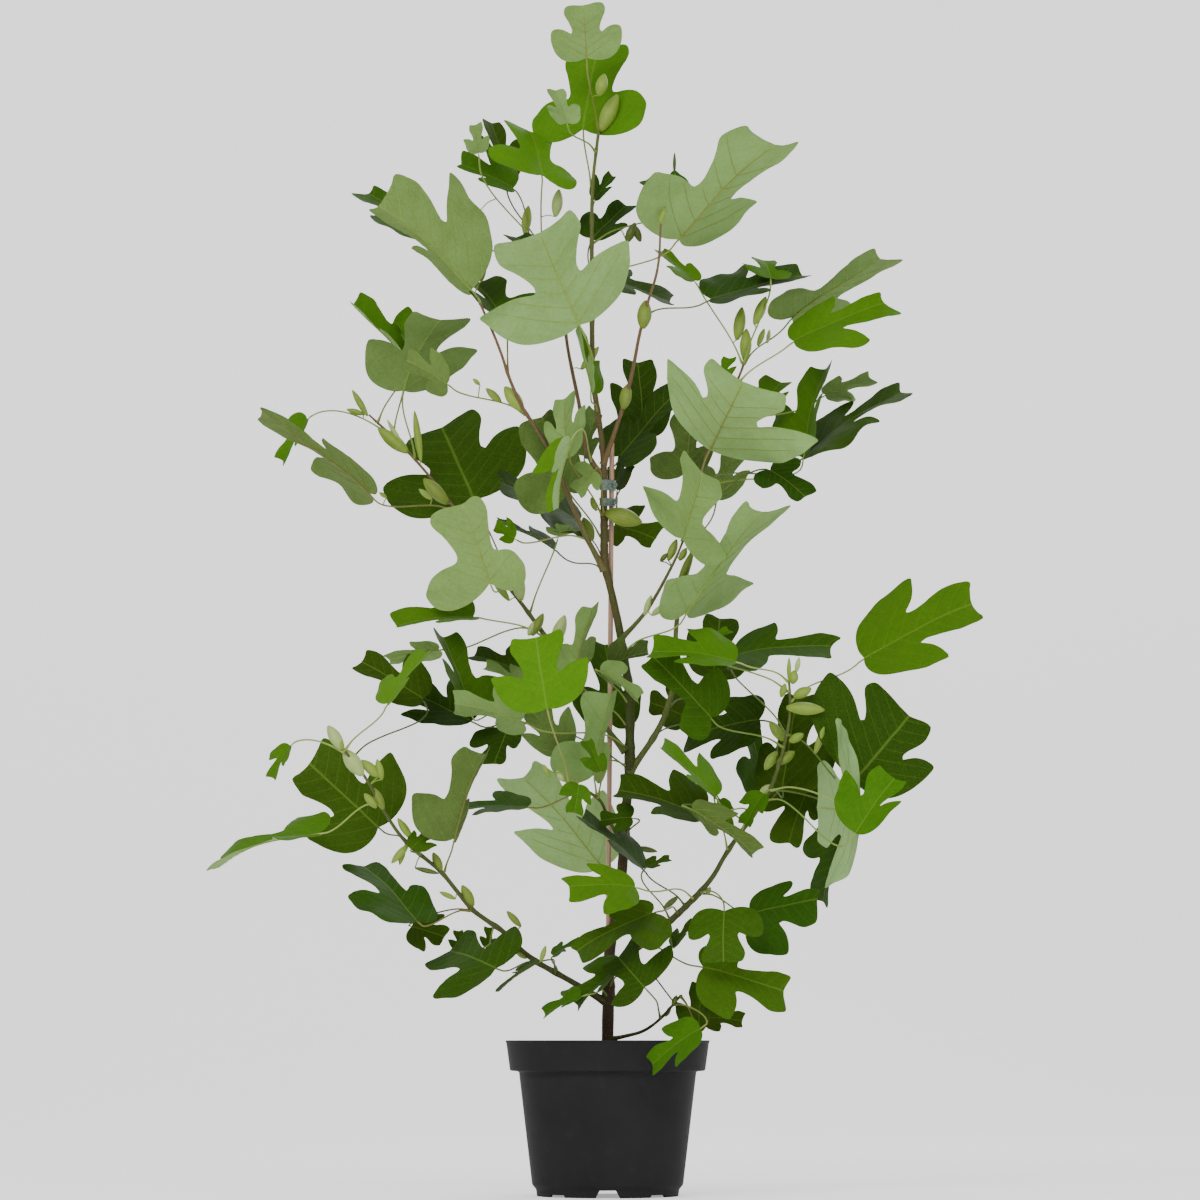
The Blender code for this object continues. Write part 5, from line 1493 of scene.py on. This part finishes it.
def make_sprouts(routes):
    """The stipules, buds and unopened shoots, each on the stem or stalk it shows beside."""
    marks = []
    for route in routes:
        for point in route:
            marks.append((to_front(point), point))
    groups = {}
    for x0, z0, x1, z1, width, kind in SPROUTS:
        groups.setdefault(kind, []).append((x0, z0, x1, z1, width))
    for kind, rows in groups.items():
        built = Shape()
        for x0, z0, x1, z1, width in rows:
            base_front = Vector((x0 * MM, z0 * MM))
            spot, anchor = min(marks, key=lambda m: (m[0] - base_front).length)
            depth = anchor.y - 0.003
            base = from_front(x0 * MM, z0 * MM, depth)
            tip = from_front(x1 * MM, z1 * MM, depth - 0.004)
            out = Vector((0.25 if x1 > x0 else -0.25, -1.0, 0.15)).normalized()
            stipule_parts(base, tip, width * MM, out, built, 0.9)
            if (spot - base_front).length > 0.003:
                middle = anchor.lerp(base, 0.5) + Vector((0, 0, 0.12 * (anchor - base).length))
                stalk = smooth_route([anchor, middle, base], 0.004)
                built.add(*tube_parts(stalk, [0.0007] * len(stalk), 6, 1))
        tone = SPROUT_TONES[kind]
        piece = built.make(f"sprouts_{kind}", [SPROUT_MATERIAL, LEAF_MATERIALS[2]], tone, 80)
        keep(piece, "leaf")


def sprout_material():
    """Stipules and buds: paler and more yellow than the leaves, with fine lengthwise lines."""
    n = Nodes("stipule", 0.45, 0.2)
    p, _, _, _ = n.mark("spot")
    tone, _, yellow, _ = n.mark("tone")
    place = n.place()
    mottle = n.grain(place, 140.0)
    lines = n.math("PINGPONG", n.math("MULTIPLY", p, 7.0), 0.5)
    value = n.math("ADD", tone, n.math("MULTIPLY", n.math("SUBTRACT", mottle, 0.5), 0.3))
    stops = ((0.0, (0.30, 0.40, 0.14)), (0.35, (0.16, 0.26, 0.03)), (0.7, (0.065, 0.12, 0.010)),
             (1.0, (0.022, 0.040, 0.007)))
    colour = n.ramp(value, stops)
    colour = n.mix(n.math("MULTIPLY", yellow, 0.4), colour, (0.22, 0.23, 0.03))
    colour = n.mix(n.math("MULTIPLY", lines, 0.2), colour, (0.30, 0.36, 0.12))
    return n.finish(colour, lines, 0.0003, 0.5)


SPROUT_MATERIAL = sprout_material()
SPROUT_TONES = {
    "pale": (0.05, 0.6, 0.15),
    "bright": (0.38, 0.6, 0.35),
    "olive": (0.6, 0.4, 0.6),
    "dark": (0.9, 0.3, 0.2),
}


def make_leaves(stems, cane):
    """All the leaves, each on its stem and clear of the others, and the stalks' routes."""
    placed = keep_clear(stems, cane)
    stalks, feet = [], {name: [] for name in stems}
    for number, row in enumerate(LEAVES, 1):
        leaf, tone, roundness = row[:10], row[10], row[11]
        shift, lift, _ = place_leaf(leaf, stems, placed)
        piece, stalk = make_leaf(number, leaf, tone, roundness, stems, shift, lift)
        keep(piece, "leaf", *([f"leaf_{number:02d}"] if number <= CAD_LEAVES else []))
        stalks.append(stalk)
        feet[leaf[6]].append(stalk[0])
    return stalks, feet


def keep_clear(stems, cane):
    """The pieces that the leaves keep clear of."""
    placed = Placed()
    for route, radii in list(stems.values()) + [cane]:
        placed.add(tube_skin(route, radii))
    pot_axis = [Vector((0, 0, z)) for z in (0.0, BAND_LOW, POT_HEIGHT)]
    placed.add(tube_skin(pot_axis, [BODY_LOW_RADIUS, BAND_LOW_RADIUS, RIM_RADIUS], POT_STEPS))
    for low, high in TIE_BANDS:
        axis = [Vector((0, TIE_ROOM_DEPTH, low)), Vector((0, TIE_ROOM_DEPTH, high))]
        placed.add(tube_skin(axis, [TIE_ROOM, TIE_ROOM]))
    return placed


# ---------------------------------------------------------------- stage


SWEEP_START = 3.0  # where the floor starts to curve up behind the plant
SWEEP_RADIUS = 1.5
SWEEP_STEPS = 10


def make_stage():
    """A pale floor that sweeps up into a backdrop behind the plant."""
    profile = [(-6.0, 0.0), (SWEEP_START, 0.0)]
    for i in range(1, SWEEP_STEPS + 1):
        turn = i * math.pi / (2 * SWEEP_STEPS)
        back = SWEEP_START + SWEEP_RADIUS * math.sin(turn)
        profile.append((back, SWEEP_RADIUS - SWEEP_RADIUS * math.cos(turn)))
    profile.append((SWEEP_START + SWEEP_RADIUS, 6.0))
    vertices, faces = [], []
    for y, z in profile:
        vertices += [(-7.0, y, z), (7.0, y, z)]
    for i in range(len(profile) - 1):
        faces.append((2 * i, 2 * i + 1, 2 * i + 3, 2 * i + 2))
    mesh = bpy.data.meshes.new("floor")
    mesh.from_pydata(vertices, [], faces)
    n = Nodes("floor_paper", 0.9, 0.1)
    tint = n.grain(n.place(), 3.0)
    mesh.materials.append(n.finish(n.ramp(tint, ((0.0, (0.93, 0.93, 0.93)), (1.0, (0.96, 0.96, 0.96))))))
    n.put(n.shader.inputs["Emission Color"], (1.0, 1.0, 1.0, 1.0))
    n.put(n.shader.inputs["Emission Strength"], FLOOR_GLOW)
    mesh.shade_smooth()
    floor = bpy.data.objects.new("floor", mesh)
    bpy.context.scene.collection.objects.link(floor)


def soft_light(name, place, aim, size, power):
    data = bpy.data.lights.new(name, "AREA")
    data.shape = "SQUARE"
    data.size = size
    data.energy = power
    light = bpy.data.objects.new(name, data)
    light.location = place
    light.rotation_euler = (Vector(aim) - Vector(place)).to_track_quat("-Z", "Y").to_euler()
    bpy.context.scene.collection.objects.link(light)


def make_lights():
    world = bpy.data.worlds.new("studio")
    world.use_nodes = True
    world.node_tree.nodes["Background"].inputs["Color"].default_value = (1.0, 1.0, 1.0, 1.0)
    world.node_tree.nodes["Background"].inputs["Strength"].default_value = WORLD_STRENGTH
    bpy.context.scene.world = world
    soft_light("key", (-1.3, -3.6, 2.4), (0, 0, 0.7), 1.6, 100)
    soft_light("fill", (1.8, -3.6, 1.4), (0, 0, 0.7), 2.0, 40)
    soft_light("rim", (1.2, 2.4, 2.6), (0, 0, 0.8), 1.6, 25)


def make_camera():
    data = bpy.data.cameras.new("camera")
    data.sensor_width = 36.0
    data.lens = data.sensor_width / 2 / VIEW_HALF_TANGENT
    camera = bpy.data.objects.new("camera", data)
    camera.location = (VIEW_CENTRE_X, -EYE_DISTANCE, EYE_HEIGHT)
    camera.rotation_euler = (math.radians(90 + VIEW_TILT), 0, 0)
    bpy.context.scene.collection.objects.link(camera)
    bpy.context.scene.camera = camera


def main():
    make_camera()
    make_lights()
    make_stage()
    make_pot_piece()
    make_soil_piece()
    stems = grow_stems()
    cane = cane_skin()
    make_cane()
    film = tie_material()
    for name, node, (low, high) in zip(("tie_low", "tie_high"), ("lower_tie", "upper_tie"), TIE_BANDS):
        make_tie_piece(name, node, low, high, film, stems["trunk"])
    stalks, feet = make_leaves(stems, cane)
    for name in STEMS:
        route, radii = stem_route(name)
        make_stem_piece(name, feet[name], route, radii)
    make_sprouts([route for route, _ in stems.values()] + stalks)


main()
